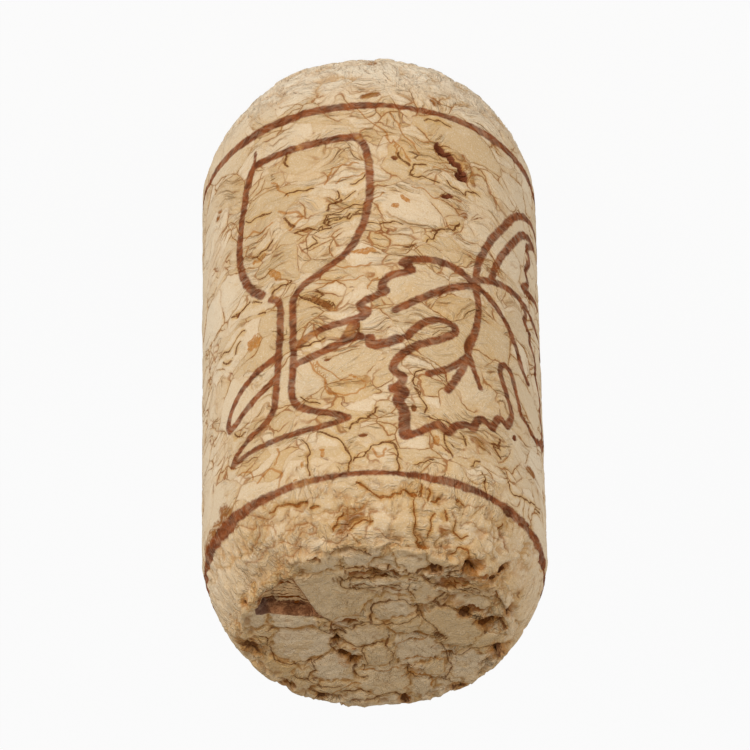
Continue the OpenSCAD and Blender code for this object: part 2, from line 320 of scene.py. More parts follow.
# The same for the upper end, with points (right, up) from its middle as the print reads
END_CRACKS = [
    (0.14, [(-3.3, 1), (-3.05, 0.2), (-2.9, -0.6), (-3, -1.4), (-3.05, -2), (-2.95, -2.8), (-2.3, -2.8)]),
    (0.3, [(-2.95, -0.35), (-2.4, -0.5)]),
    (0.3, [(-3, -1.3), (-2.8, -1.7)]),
    (0.34, [(-2.4, -2.9), (-2, -2.9), (-1.7, -3.6), (-1.45, -4.5)]),
    (0.22, [(-1.45, -4.4), (-1.55, -5.3), (-1.2, -5.6), (-0.7, -5.5)]),
    (0.1, [(-7.4, 0.1), (-6, 0), (-5, 0.2), (-4, 0.1), (-3.4, -0.5)]),
    (0.1, [(-7.6, -0.8), (-7.4, -1.7), (-7.2, -3), (-6.4, -3.8), (-5, -3.9), (-3.8, -3.3)]),
    (0.14, [(-4.2, 1.5), (-3.4, 1.1), (-2.8, 0.2), (-2.1, 0), (-1.1, 0.5), (-0.3, 0.8)]),
    (0.18, [(-0.2, 0.8), (-0.4, 1.6), (-0.25, 2.3), (0.2, 2.8), (0.9, 3.2)]),
    (0.1, [(0.9, 3.2), (1.9, 3.1), (2.6, 2.4), (2.8, 1.6), (2.3, 0.9), (1, 0.4), (0, 0.6)]),
    (0.24, [(2.6, 2.6), (3.7, 2.6), (5, 2.55)]),
    (0.16, [(5, 2.6), (5.8, 1.9), (6.5, 1.4), (7.2, 1.2)]),
    (0.12, [(3, 1.6), (3.9, 0.4), (4.4, -0.7), (4.8, -1.2)]),
    (0.28, [(4.1, -0.6), (4.75, -1.05)]),
    (0.14, [(4.2, -1), (4.65, -2.3), (4.95, -3.4), (5.05, -4.5)]),
    (0.36, [(6.9, 0.6), (7.7, 0.75), (8.5, 0.4), (8.8, -0.2)]),
    (0.24, [(7.3, 0.1), (7.5, -0.5)]),
    (0.12, [(4.95, -3.3), (5.8, -3.2), (6.5, -2.5), (7.3, -2.4), (8.5, -1.9)]),
    (0.34, [(3, 6.4), (3.7, 6.7), (5.2, 6.9)]),
    (0.2, [(3.3, 5.8), (3.9, 5.2)]),
    (0.2, [(5, 5.6), (5.4, 6.4), (6.2, 6.7)]),
    (0.44, [(6.3, 6.6), (6.8, 6.5), (7.2, 6.9)]),
    (0.22, [(7.8, 6), (8, 4.9)]),
    (0.16, [(8.5, 5.3), (8.3, 3.8), (8.6, 2.7)]),
    (0.12, [(5.1, 4.7), (6.2, 4.2), (7, 3.8), (7.7, 3.4)]),
    (0.18, [(4.1, 2.8), (4.4, 3.7), (5, 4.2)]),
    (0.1, [(2.3, 5), (2.4, 4), (2.7, 3.5)]),
    (0.18, [(-2.3, 5.9), (-0.9, 5.8), (-0.3, 5.9), (1, 5.9)]),
    (0.14, [(-2.4, 6), (-2.4, 5.3), (-2.1, 4.8), (-1.1, 4.7), (0.4, 4.9), (1.6, 4.8)]),
    (0.18, [(-2.8, 8.6), (-2.1, 8.7), (-0.9, 8.8), (-0.4, 8.4)]),
    (0.3, [(-4.4, 7.95), (-3.8, 7.85)]),
    (0.14, [(-2.6, 7.1), (-0.8, 6.9), (0.4, 6.5), (0.9, 7.1)]),
    (0.14, [(1.2, 6.4), (2, 6.1), (2.9, 6.3)]),
    (0.14, [(-2.4, -7.4), (-1.3, -7.2), (-0.7, -7.5)]),
    (0.34, [(-4.5, -7.3), (-3.1, -7.8)]),
    (0.26, [(-0.7, -8.3), (0.4, -7.9), (1, -7.6), (2, -8.3)]),
    (0.2, [(-5.6, -5.4), (-4.9, -5.7), (-4.3, -5.8)]),
    (0.12, [(-4.4, -3.7), (-4.3, -4.8), (-4.7, -5.6), (-4, -6.6), (-2.6, -6.6)]),
    (0.12, [(2.2, -4.1), (2.1, -5.2), (2.7, -5.6)]),
    (0.12, [(5.2, -4.5), (5, -5.8), (5.4, -6.8)]),
    (0.12, [(3.7, -6), (4.8, -6.1)]),
    (0.1, [(0.8, -0.8), (0.8, -1.8), (1.1, -2.9), (1, -4.3)]),
    (0.2, [(0.75, -1.5), (0.8, -1.9)]),
    (0.1, [(-1, -2.3), (-0.7, -3.5), (-0.8, -4.8)]),
    (0.12, [(-2.3, -1.1), (-1.9, -1.8), (-1.1, -2), (0, -1.9)]),
]
END_SEAMS = [
    (0.16, [(1, 0), (1.6, -0.6), (2.7, -0.5), (3.9, -1)]),
    (0.14, [(-0.8, -4.9), (0.4, -4.9), (1.4, -4.6)]),
    (0.14, [(1.6, -1.8), (2.2, -1.4), (3.4, -1.3)]),
    (0.14, [(2.2, -3.6), (3.4, -3.5), (4.6, -3.7)]),
    (0.14, [(1.9, -5.6), (2.6, -5.4), (3.6, -5.7), (3.9, -6.9)]),
    (0.16, [(-3.1, -7.6), (-2.2, -6.8), (-1.4, -6.4)]),
]
# Smooth granules of the wall, whose layers hardly show: (right, up), half length, half width, lean
SMOOTH = [
    ((-5, 10.4), 2.1, 1.6, 10), ((-8.3, 10.2), 1.1, 1.6, 0), ((-8.6, -3), 1.5, 2.7, 0),
    ((3.6, 6.2), 2.8, 1.5, 0), ((-1.7, -1.6), 1.7, 1.1, 0), ((5, -10.7), 1.9, 1.3, 10),
    ((-7.3, -15.2), 2.2, 1.7, 0), ((-3.1, -15.6), 1.4, 1.7, 0), ((-1, -11.6), 2.3, 1.1, 0),
    ((12.6, -14.5), 2.3, 1, 15), ((6, -16), 1.5, 0.9, 0), ((3.2, -15.1), 0.9, 0.6, 0),
    ((0.1, -16), 1.2, 0.9, 0), ((9.2, 12.6), 2.4, 1.8, 0), ((8.6, 7.6), 1.1, 1, 40),
    ((-11.5, -6.4), 1.8, 2, 0), ((-14, -11), 2, 2.4, 0), ((-3, 13.9), 2.2, 0.7, 0),
    ((7, 13.8), 2, 0.9, 0), ((9, -19.6), 2, 0.9, -5), ((0.6, -20), 0.7, 1.2, 0),
    ((2.1, -20.2), 0.7, 1.4, 0), ((9.6, -2.2), 1, 1.6, 20), ((-7.2, -19.4), 2, 0.8, 0),
    ((-3.8, -19.6), 1, 0.9, 0), ((5.6, -20.6), 0.9, 0.8, 0), ((8.8, -20.4), 1.8, 0.6, 0),
]


# ---------------------------------------------------------------- node expressions
class Field:
    """Writes expressions as nodes of one tree, so the relief and the colours use the same ones."""

    def __init__(self, tree):
        self.tree = tree

    def node(self, kind, inputs=(), **settings):
        """Makes a node with its settings, and inputs that are values or the outputs of other nodes."""
        made = self.tree.nodes.new(kind)
        for name, value in settings.items():
            setattr(made, name, value)
        for key, value in dict(inputs).items():
            self.feed(made.inputs[key], value)
        return made

    def feed(self, socket, value):
        if isinstance(value, bpy.types.NodeSocket):
            self.tree.links.new(value, socket)
        else:
            socket.default_value = value

    def read(self, name, kind="FLOAT"):
        """A field that the mesh stores, in either kind of tree."""
        if self.tree.type == "GEOMETRY":
            return self.node("GeometryNodeInputNamedAttribute", {"Name": name}, data_type=kind).outputs[0]
        made = self.node("ShaderNodeAttribute", attribute_name=name)
        return made.outputs["Vector" if kind == "FLOAT_VECTOR" else "Fac"]

    def math(self, operation, *values):
        return self.node("ShaderNodeMath", enumerate(values), operation=operation).outputs[0]

    def folded(self, operation, values):
        """One operation over any number of values, from the first on."""
        result = values[0]
        for value in values[1:]:
            result = self.math(operation, result, value)
        return result

    def total(self, *values):
        return self.folded("ADD", values)

    def minus(self, value, taken):
        return self.math("SUBTRACT", value, taken)

    def product(self, *values):
        return self.folded("MULTIPLY", values)

    def most(self, *values):
        return self.folded("MAXIMUM", values)

    def least(self, *values):
        return self.folded("MINIMUM", values)

    def size(self, value):
        return self.math("ABSOLUTE", value)

    def vector(self, operation, *values):
        made = self.node("ShaderNodeVectorMath", enumerate(values), operation=operation)
        return made.outputs["Value" if operation == "DISTANCE" else "Vector"]

    def scaled(self, place, factor):
        """A vector times a number that may itself be an expression."""
        made = self.node("ShaderNodeVectorMath", {"Vector": place, "Scale": factor}, operation="SCALE")
        return made.outputs["Vector"]

    def parts(self, vector):
        return self.node("ShaderNodeSeparateXYZ", {"Vector": vector}).outputs

    def step(self, value, low, high, start=0.0, end=1.0):
        """Runs smoothly from start to end as value goes from low to high."""
        inputs = {"Value": value, "From Min": low, "From Max": high, "To Min": start, "To Max": end}
        made = self.node("ShaderNodeMapRange", inputs, interpolation_type="SMOOTHSTEP", clamp=True)
        return made.outputs[0]

    def noise(self, place, scale, detail=1.0, roughness=0.5, output=0):
        """Noise from 0 to 1, of about the given number of features a mm."""
        inputs = {"Vector": place, "Scale": scale, "Detail": detail, "Roughness": roughness}
        return self.node("ShaderNodeTexNoise", inputs, noise_dimensions="3D").outputs[output]

    def ripple(self, *settings):
        """The same noise from -0.5 to 0.5."""
        return self.minus(self.noise(*settings), 0.5)

    def drift(self, place, scale):
        """A vector of noise, with each part from -0.5 to 0.5."""
        return self.vector("SUBTRACT", self.noise(place, scale, output=1), HALF)

    def cells(self, place, size):
        """Random cells of a size in mm: three random numbers of each, mm to its outline, its middle."""
        inputs = {"Vector": place, "Scale": 1 / size, "Randomness": 1.0}
        kind = "ShaderNodeTexVoronoi"
        inside = self.node(kind, inputs, voronoi_dimensions="3D", feature="F1").outputs
        edge = self.node(kind, inputs, voronoi_dimensions="3D", feature="DISTANCE_TO_EDGE").outputs
        return self.parts(inside["Color"]), self.product(edge["Distance"], size), inside["Position"]

    def choose(self, share, first, second):
        """first where share is 0, second where it is 1, for numbers."""
        inputs = {0: share, 2: first, 3: second}
        return self.node("ShaderNodeMix", inputs, data_type="FLOAT", clamp_factor=True).outputs[0]

    def choose_place(self, share, first, second):
        """The same for vectors."""
        inputs = {0: share, 4: first, 5: second}
        return self.node("ShaderNodeMix", inputs, data_type="VECTOR", clamp_factor=True).outputs[1]

    def tint(self, share, first, second):
        """The same for colours."""
        inputs = {0: share, 6: first, 7: second}
        return self.node("ShaderNodeMix", inputs, data_type="RGBA", clamp_factor=True).outputs[2]


class Surface(Field):
    """Expressions over the fields of the cork's points, with the granules worked out from them."""

    def __init__(self, tree):
        super().__init__(tree)
        self.place, self.spread = self.read("place", "FLOAT_VECTOR"), self.read("spread", "FLOAT_VECTOR")
        self.inward, self.bevel = self.read("inward"), self.read("bevel")
        self.top, self.torn, self.beside = zones(self)
        self.worn = self.most(self.bevel, self.top)
        self.grains = grain(self)
        self.drawn = drawn_out(self)

    def frayed(self, value, amount):
        """A value with ragged noise added, so that marks have torn outlines."""
        return self.total(value, self.product(self.ragged, amount))

    def cover(self, share, colour):
        """Lays a colour over the one so far, by a share from 0 to 1."""
        self.colour = self.tint(share, self.colour, colour)


# ---------------------------------------------------------------- the grain of the cork
# Sizes in mm of the cells that make granules and crumbs, and how much flatter than wide granules lie
BIG_GRANULE = 4.6
SMALL_GRANULE = 2.1
CRUMB = 1.1
FLATTENING = 1.7
# How flat the layers' noise is drawn: on the wall, round a bevel, towards its end, and on the upper end
WALL_DRAW = (0.17, 0.17, 1.0)
ROUND_DRAW = (0.22, 0.22, 1.0)
ENDWISE_DRAW = (1.0, 1.0, 0.25)
WHOLE_DRAW = (0.3, 1.0, 1.0)
TORN_DRAW = (0.25, 1.0, 1.0)
# The small move over which the slope of the layers' noise is measured, as a vector and in mm
LAYER_STEP = (0.02, 0.03, 0.05)
LAYER_STEP_LENGTH = 0.06
LEAST_SLOPE = 0.006

# Granules that show in the upper end: (right, up) from its middle as the print reads, and radius
END_GRANULES = [
    ((-5.3, -1.9), 2), ((-3.2, 3.9), 2.4), ((1.1, 2.1), 1.15), ((1.9, 0.5), 0.8), ((-0.8, -0.6), 1.3),
    ((-2, 0.7), 0.6), ((0.1, -3.1), 1.2), ((2.8, -2.4), 1.5), ((5.4, 0.3), 1.9), ((0.6, -6.3), 1.7),
    ((-3.1, -4.6), 1.5), ((-2.9, -6.7), 0.8), ((3, -6.4), 1.1), ((6.7, -4.7), 1.5), ((3.5, 4.4), 1.1),
    ((4.5, 6), 0.6), ((7, 4.6), 0.9), ((-1.2, -8.1), 0.9), ((-5.8, 1), 1.3), ((-7.9, -0.8), 0.8),
    ((-8.3, 1.2), 0.6), ((-6.8, -4.3), 0.9), ((-5, -5.8), 0.8), ((0.8, 6.7), 1), ((-1.2, 5.6), 0.9),
    ((2.5, 7.6), 0.9), ((1.8, 4.6), 0.6), ((3.9, -4.4), 0.7), ((4.7, -6.3), 0.7), ((7.9, -2.2), 0.8),
    ((6.5, 2.7), 0.7), ((-0.9, 8.3), 0.9), ((4.6, 8.1), 0.8), ((-3.8, 7.6), 0.9), ((0.9, -8.4), 0.6),
]
# Torn places of the upper end, where layers stand out: (right, up), half length, half width, lean
TORN = [
    ((0.6, 5.6), 3.3, 1.5, -5), ((5.6, 5.2), 3, 1.7, -20), ((6.3, 1.9), 1.8, 0.8, -30),
    ((-1.9, 0.5), 1.6, 0.5, 5), ((-1.6, -2.9), 1.1, 0.8, -40), ((-6.6, -6.2), 1.3, 0.8, -35),
    ((-2.8, -8.2), 1.8, 0.5, -10), ((4.6, -2.6), 1.2, 0.5, -35), ((7.9, -4.2), 1, 0.7, 40),
    ((-8, -1.2), 0.9, 1, 0), ((2.4, -4.6), 1.1, 0.5, 0), ((4.4, -7.6), 1.6, 0.6, 20),
]


def zones(f):
    """The upper end, its torn places, and a share that fades out beside the limits of both."""
    beyond = f.total(f.inward, f.product(f.ripple(f.place, 0.8, 2.0), 4.0))
    top = f.step(beyond, -0.03, 0.03)
    within = f.total(f.read("torn"), f.product(f.ripple(f.place, 1.3, 2.0), 1.2))
    torn = f.product(top, f.step(within, 0.0, 0.2))
    beside_torn = f.step(f.size(f.minus(within, 0.1)), 0.0, 0.3)
    beside = f.product(f.step(f.size(beyond), 0.0, 0.25), f.choose(top, 1.0, beside_torn))
    return top, torn, beside


def grain(f):
    """The granules: distance in mm to their outlines, random numbers of each, and the end's crumbs."""
    slow, quick, jagged = f.drift(f.place, 0.3), f.drift(f.place, 1.1), f.drift(f.place, 3.5)
    bent = f.vector("ADD", f.place, f.scaled(slow, 3.5))
    crumpled = f.vector("ADD", bent, f.scaled(quick, f.choose(f.worn, 0.4, 1.1)))
    crumpled = f.vector("ADD", crumpled, f.scaled(jagged, f.choose(f.worn, 0.14, 0.35)))
    flat = f.vector("MULTIPLY", crumpled, (1, 1, FLATTENING))
    big, big_edge, big_middle = f.cells(flat, BIG_GRANULE)
    small, small_edge, small_middle = f.cells(flat, SMALL_GRANULE)
    split = f.step(big[0], 0.45, 0.47)
    edge = f.choose(split, big_edge, f.least(big_edge, small_edge))
    tone, lean = (f.choose(split, big[part], small[part]) for part in (1, 2))

    # The upper end: the listed granules with crumbs between them
    shifted = f.vector("ADD", f.vector("ADD", f.place, f.scaled(quick, 1.2)), f.scaled(jagged, 0.25))
    nearest, second, end_tone = 50.0, 50.0, 0.5
    for index, ((right, up), radius) in enumerate(END_GRANULES):
        gap = f.minus(f.vector("DISTANCE", shifted, (-right, -up, LENGTH)), radius)
        closer = f.math("LESS_THAN", gap, nearest)
        end_tone = f.choose(closer, end_tone, (index * 0.618) % 1)
        second = f.least(second, f.most(nearest, gap))
        nearest = f.least(nearest, gap)
    crumb, crumb_edge = f.cells(shifted, CRUMB)[:2]
    loose = f.step(nearest, 0.4, 0.55)
    crumb_calm = f.step(f.size(f.minus(nearest, 0.475)), 0.0, 0.25)
    end_edge = f.product(f.minus(second, nearest), 0.5)
    end_edge = f.choose(loose, end_edge, f.least(crumb_edge, f.minus(nearest, 0.4)))
    end_tone = f.choose(loose, end_tone, crumb[1])
    end_edge = f.choose(f.torn, end_edge, 1.0)
    return SimpleNamespace(
        edge=f.choose(f.top, edge, end_edge), tone=f.choose(f.top, tone, end_tone), lean=lean,
        loose=f.product(loose, f.top), calm=f.choose(f.top, 1.0, crumb_calm),
        quick=quick, crumpled=crumpled, big=big[0],
        middle=f.choose_place(split, big_middle, small_middle),
    )


def drawn_out(f):
    """The place with each granule's layers turned level and drawn out, so noise on it runs along them."""
    grains, turning = f.grains, "ShaderNodeVectorRotate"
    spin = f.math("FRACT", f.product(grains.big, 9.7))
    axis = f.node("ShaderNodeCombineXYZ", {0: grains.tone, 1: spin, 2: 0.5}).outputs[0]
    turn = {
        "Vector": grains.crumpled,
        "Axis": f.vector("SUBTRACT", axis, HALF),
        "Angle": f.product(f.minus(grains.lean, 0.5), 1.5),
    }
    turned = f.node(turning, turn, rotation_type="AXIS_ANGLE").outputs[0]
    on_wall = f.vector("MULTIPLY", turned, WALL_DRAW)

    # A bevel's layers run round the cork or towards its end, granule by granule
    pushed = f.vector("ADD", f.spread, f.scaled(grains.quick, 0.9))
    middle = f.parts(grains.middle)
    endwise = f.step(f.total(grains.lean, f.product(f.size(middle[0]), 0.05)), 0.72, 0.73)
    round_it = f.vector("MULTIPLY", pushed, ROUND_DRAW)
    to_end = f.vector("MULTIPLY", pushed, ENDWISE_DRAW)
    on_bevel = f.choose_place(endwise, round_it, to_end)
    from_middle = f.size(f.minus(f.math("DIVIDE", middle[2], FLATTENING), MIDDLE))
    over = f.step(from_middle, WALL_LENGTH / 2, WALL_LENGTH / 2 + 0.02)

    turn = {"Vector": grains.crumpled, "Angle": f.product(grains.tone, 3.14)}
    spun = f.node(turning, turn, rotation_type="Z_AXIS").outputs[0]
    shed = f.vector("ADD", f.place, f.scaled(grains.quick, 1.3))
    whole, loose = f.vector("MULTIPLY", spun, WHOLE_DRAW), f.vector("MULTIPLY", shed, TORN_DRAW)
    on_end = f.choose_place(f.torn, whole, loose)
    return f.choose_place(f.top, f.choose_place(over, on_wall, on_bevel), on_end)


def from_layer(f, scale):
    """Signed mm from the nearest growth line, where noise along the layers passes through one half."""
    here = f.noise(f.drawn, scale, 1.5, 0.45)
    beyond = f.noise(f.vector("ADD", f.drawn, LAYER_STEP), scale, 1.5, 0.45)
    slope = f.most(f.size(f.minus(beyond, here)), LEAST_SLOPE)
    return f.math("DIVIDE", f.product(f.minus(here, 0.5), LAYER_STEP_LENGTH), slope)


def layers(f):
    """Growth layers: lines and their dark cores, the warm tint beside them, and the steps they leave."""
    dashes = f.noise(f.vector("MULTIPLY", f.drawn, (3.2, 3.2, 1.3)), 1.1, 2.0)
    first, second = from_layer(f, 1.0), from_layer(f, 2.2)
    near_first, near_second = f.size(first), f.size(second)
    leaning, wearing = f.product(f.grains.lean, 0.35), f.product(f.worn, 0.1)
    clear = f.total(f.noise(f.place, 0.25), leaning, wearing, -0.175)
    present = f.most(f.torn, f.product(f.step(clear, 0.42, 0.52), f.choose(f.worn, 1.0, 0.6)))
    dashed = f.product(f.step(dashes, 0.4, 0.56), present)
    fainter = f.product(f.step(dashes, 0.36, 0.56, 0.2, 1.0), f.step(clear, 0.33, 0.5))
    ridge = f.product(f.step(first, -0.4, -0.05), f.step(first, 0.05, -0.05))
    ditch = f.product(f.step(first, -0.05, 0.05), f.step(first, 0.4, 0.05))
    fine_ridge = f.product(f.step(second, -0.25, -0.05), f.step(second, 0.05, -0.05))
    return SimpleNamespace(
        lines=f.product(f.step(near_first, 0.09, 0.03), dashed),
        cores=f.product(f.step(near_first, 0.06, 0.02), f.step(dashes, 0.55, 0.65), present),
        warmth=f.product(f.step(near_first, 0.4, 0.0), f.step(dashes, 0.34, 0.56), present),
        faint=f.product(f.step(near_second, 0.07, 0.02), fainter),
        ridges=f.noise(f.drawn, 3.2, 2.5, 0.65),
        steps=f.total(f.product(f.minus(ridge, ditch), dashed), f.product(fine_ridge, fainter, 0.7)),
    )


# ---------------------------------------------------------------- the mesh
# Points round the cork, mm between rows of points, steps across an end face, and how much the points
# crowd towards the print
RING_SIDES = 352
ROW_STEP = 0.21
CAP_STEPS = RING_SIDES // 4
CROWDING = 0.35
# About the length in mm of a bevel's outline, which is worked out at several points for each row
BEVEL_PATH = 6.4
POINTS_A_ROW = 8


def crowded(turn):
    """Angles moved towards the printed side, which faces -Y, so that the mesh is finer there."""
    return turn - CROWDING * np.sin(turn + math.pi / 2)


def section():
    """The outline from the lower face's edge to the upper one's, at even steps: radius, height, the
    outward direction's two parts, and the path so far."""
    turn = np.linspace(0, math.pi / 2, int(BEVEL_PATH / ROW_STEP) * POINTS_A_ROW)
    radius = FACE_R + BEVEL_DEPTH * np.sin(turn) ** (2 / BEVEL_ROUNDNESS)
    height = BEVEL_LENGTH * (1 - np.cos(turn) ** (2 / BEVEL_ROUNDNESS))
    radius = np.concatenate([radius, radius[::-1]])
    height = np.concatenate([height, LENGTH - height[::-1]])
    path = np.concatenate([[0], np.cumsum(np.hypot(np.diff(radius), np.diff(height)))])
    even = np.linspace(0, path[-1], int(path[-1] / ROW_STEP) + 1)
    radius, height = np.interp(even, path, radius), np.interp(even, path, height)
    out_radius, out_height = np.gradient(height), -np.gradient(radius)
    size = np.hypot(out_radius, out_height)
    return radius, height, out_radius / size, out_height / size, even


def on_disc(steps):
    """A square grid bent into a disc of radius 1, with its outline evenly spaced."""
    side = np.linspace(-1, 1, steps + 1)
    a, b = np.meshgrid(side, side, indexing="ij")
    wide = np.abs(a) >= np.abs(b)
    safe_a, safe_b = np.where(a == 0, 1, a), np.where(b == 0, 1, b)
    radius = np.where(wide, a, b)
    turn = np.where(wide, math.pi / 4 * b / safe_a, math.pi / 2 - math.pi / 4 * a / safe_b)
    turn = np.where((a == 0) & (b == 0), 0, turn)
    return radius * np.cos(turn), radius * np.sin(turn)


def body_mesh():
    """The undisplaced cork: places, outward directions, paths along the outline, and four-sided faces."""
    radius, height, out_radius, out_height, path = section()
    rows = len(radius)
    turn = crowded(np.arange(RING_SIDES) * 2 * math.pi / RING_SIDES)
    cos, sin = np.cos(turn), np.sin(turn)

    def swept(across, along):
        """Values of the outline carried round the axis."""
        parts = [across[:, None] * cos, across[:, None] * sin, along[:, None] + 0 * cos]
        return np.stack(parts, -1).reshape(-1, 3)

    places, outs = swept(radius, height), swept(out_radius, out_height)
    paths = np.repeat(path, RING_SIDES)
    index = np.arange(rows * RING_SIDES).reshape(rows, RING_SIDES)
    after = np.roll(index, -1, axis=1)
    faces = [np.stack([index[:-1], after[:-1], after[1:], index[1:]], -1).reshape(-1, 4)]
    for row, level, facing in ((0, 0.0, -1), (rows - 1, LENGTH, 1)):
        x, y = on_disc(CAP_STEPS)
        rim = np.round(np.arctan2(y, x) / (2 * math.pi) * RING_SIDES).astype(int) % RING_SIDES
        reach, around = np.hypot(x, y), crowded(np.arctan2(y, x))
        x, y = reach * np.cos(around), reach * np.sin(around)
        inner = np.zeros(x.shape, bool)
        inner[1:-1, 1:-1] = True
        ids = np.where(inner, 0, index[row][rim])
        ids[inner] = len(places) + np.arange(inner.sum())
        cap = np.stack([x[inner] * FACE_R, y[inner] * FACE_R, np.full(inner.sum(), level)], -1)
        places = np.concatenate([places, cap])
        outs = np.concatenate([outs, np.tile((0, 0, facing), (len(cap), 1))])
        edge_path = path[row] + facing * (FACE_R - np.hypot(cap[:, 0], cap[:, 1]))
        paths = np.concatenate([paths, edge_path])
        quads = np.stack([ids[:-1, :-1], ids[1:, :-1], ids[1:, 1:], ids[:-1, 1:]], -1).reshape(-1, 4)
        faces.append(quads if facing > 0 else quads[:, ::-1])
    outs[index[0]] = (0, 0, -1) + outs[index[0]]
    outs[index[-1]] = (0, 0, 1) + outs[index[-1]]
    outs /= np.linalg.norm(outs, axis=1, keepdims=True)
    return places, outs, paths, np.concatenate(faces)


# Distances to strokes are stored up to this many mm, and a point beyond it lies beside no stroke
REACH = 2.0
NO_SIDE = 9.0
# How many points are measured at once
BATCH = 4000


def smooth_between(value, low, high):
    """0 at low, 1 at high, and a smooth run between them."""
    share = np.clip((value - low) / (high - low), 0, 1)
    return share * share * (3 - 2 * share)


def curve_through(points, spacing=0.06):
    """A smooth curve through the points, as short steps."""
    p = np.array(points, float)
    p = np.vstack([2 * p[0] - p[1], p, 2 * p[-1] - p[-2]])
    places = []
    for before, start, end, after in zip(p, p[1:], p[2:], p[3:]):
        count = max(2, int(np.hypot(*(end - start)) / spacing))
        t = (np.arange(count) / count)[:, None]
        bend = 2 * start + (end - before) * t + (2 * before - 5 * start + 4 * end - after) * t ** 2
        places.append(0.5 * (bend + (3 * start - before - 3 * end + after) * t ** 3))
    return np.vstack([*places, p[-2:-1]])


def wobbled(value, other):
    """A coordinate moved a little, so that cracks don't run straight."""
    slow = 0.1 * np.sin(3.1 * other + 2 * np.sin(1.3 * value))
    quick = 0.06 * np.sin(7.3 * other + 5 * value)
    return value + slow + quick


def stroke_distance(right, up, strokes):
    """Distance in mm from each place to the edge of the nearest stroke, less than 0 inside it, and how
    far it lies to the stroke's left or right, in half widths of the stroke."""
    nearest, sideways = np.full(len(right), REACH), np.full(len(right), NO_SIDE)
    for width, points in strokes:
        line = curve_through(points)
        along = np.gradient(line, axis=0)
        along /= np.hypot(*along.T)[:, None]
        (left, bottom), (rightmost, highest) = line.min(0) - REACH, line.max(0) + REACH
        ids = np.flatnonzero((right > left) & (right < rightmost) & (up > bottom) & (up < highest))
        for part in np.array_split(ids, len(ids) // BATCH + 1):
            gaps = np.hypot(right[part, None] - line[:, 0], up[part, None] - line[:, 1])
            closest = gaps.argmin(1)
            gap = gaps.min(1) - width / 2
            side = (along[closest, 0] * (up[part] - line[closest, 1])
                    - along[closest, 1] * (right[part] - line[closest, 0])) / (width / 2)
            sideways[part] = np.where(gap < nearest[part], side, sideways[part])
            nearest[part] = np.minimum(nearest[part], gap)
    return nearest, sideways


def ring_distance(right, up):
    """The distance alone, for the two printed rings."""
    nearest = np.full(len(right), REACH)
    for height, widths in RINGS:
        steps = np.linspace(-math.pi * WALL_R, math.pi * WALL_R, len(widths))
        nearest = np.minimum(nearest, np.abs(up - height) - np.interp(right, steps, widths) / 2)
    return nearest


def in_mark(right, up, centre, half_length, half_width, lean):
    """1 at the middle of a leaning oval mark, 0 at its edge, less outside."""
    cos, sin = math.cos(math.radians(lean)), math.sin(math.radians(lean))
    x, y = right - centre[0], up - centre[1]
    along, across = (x * cos + y * sin) / half_length, (y * cos - x * sin) / half_width
    return 1 - np.hypot(along, across)


# The corner broken out of one granule of the upper end: (right, up) corners, anticlockwise. Its floor
# falls in terraces from the tip to a dark wall between the heel and the inner corner.
CORNER = [(-5.7, 6.1), (-8.1, 3.4), (-8.0, 2.0), (-3.9, 1.5)]
CORNER_DEPTH = 0.9
TERRACES = 6
# Width of a terrace in mm, and how strongly its edge bows
TERRACE_STEP = 0.5
BOW = 0.12
# How far the rim slopes down beside the corner, in mm
SHOULDER = 0.7
HEEL, INNER = CORNER[2], CORNER[3]
WALL_SPAN = math.hypot(INNER[0] - HEEL[0], INNER[1] - HEEL[1])
WALL_NORMAL = ((HEEL[1] - INNER[1]) / WALL_SPAN, (INNER[0] - HEEL[0]) / WALL_SPAN)
WALL_OFFSET = -HEEL[0] * WALL_NORMAL[0] - HEEL[1] * WALL_NORMAL[1]
# Dents in the upper end and its bevel: (right, up, height below the end), radius, depth
DENTS = [
    ((4.1, 6.7, 0), 0.6, 0.6), ((6.7, 6.7, 0), 0.8, 0.9), ((8.9, 6.6, 0.5), 0.6, 0.8),
    ((8.2, 5.2, 0.1), 0.5, 0.5), ((7.6, 0.4, 0), 0.7, 0.6), ((6.1, 1.6, 0), 0.5, 0.4),
    ((-2.8, -1.4, 0), 0.4, 0.35), ((-2.2, -2.9, 0), 0.5, 0.5), ((-1.6, -3.8, 0), 0.5, 0.5),
    ((-8.9, -2.2, 0.2), 1.1, 0.6), ((-6.5, -6.6, 0.2), 0.7, 0.8), ((-3.9, -7.8, 0), 0.45, 0.3),
    ((1.9, -8.5, 0.1), 0.5, 0.3), ((8.7, -2.9, 0.1), 1.1, 0.6), ((5.8, -7.2, 0.1), 0.6, 0.3),
    ((-8.9, 2.8, 0.3), 0.4, 0.3), ((9.2, 1.2, 0.4), 0.6, 0.4),
]


def inside_polygon(right, up, corners):
    """Distance in mm inward from the sides of a convex outline, less than 0 outside it."""
    depth = np.full(len(right), 9.0)
    for (x0, y0), (x1, y1) in zip(corners, corners[1:] + corners[:1]):
        length = math.hypot(x1 - x0, y1 - y0)
        if length > 0:
            depth = np.minimum(depth, ((x1 - x0) * (up - y0) - (y1 - y0) * (right - x0)) / length)
    return depth


def corner_depth(right, up):
    """The broken corner's depth in mm."""
    from_wall = right * WALL_NORMAL[0] + up * WALL_NORMAL[1] + WALL_OFFSET
    inside = smooth_between(inside_polygon(right, up, CORNER), -0.1, 0.35)
    terrace = np.clip((from_wall + BOW * (right - CORNER[0][0]) ** 2 - 1) / TERRACE_STEP, 0, TERRACES)
    risen = np.floor(terrace) + smooth_between(terrace % 1, 0.5, 0.9)
    return inside * CORNER_DEPTH * (1 - 0.9 * risen / TERRACES)


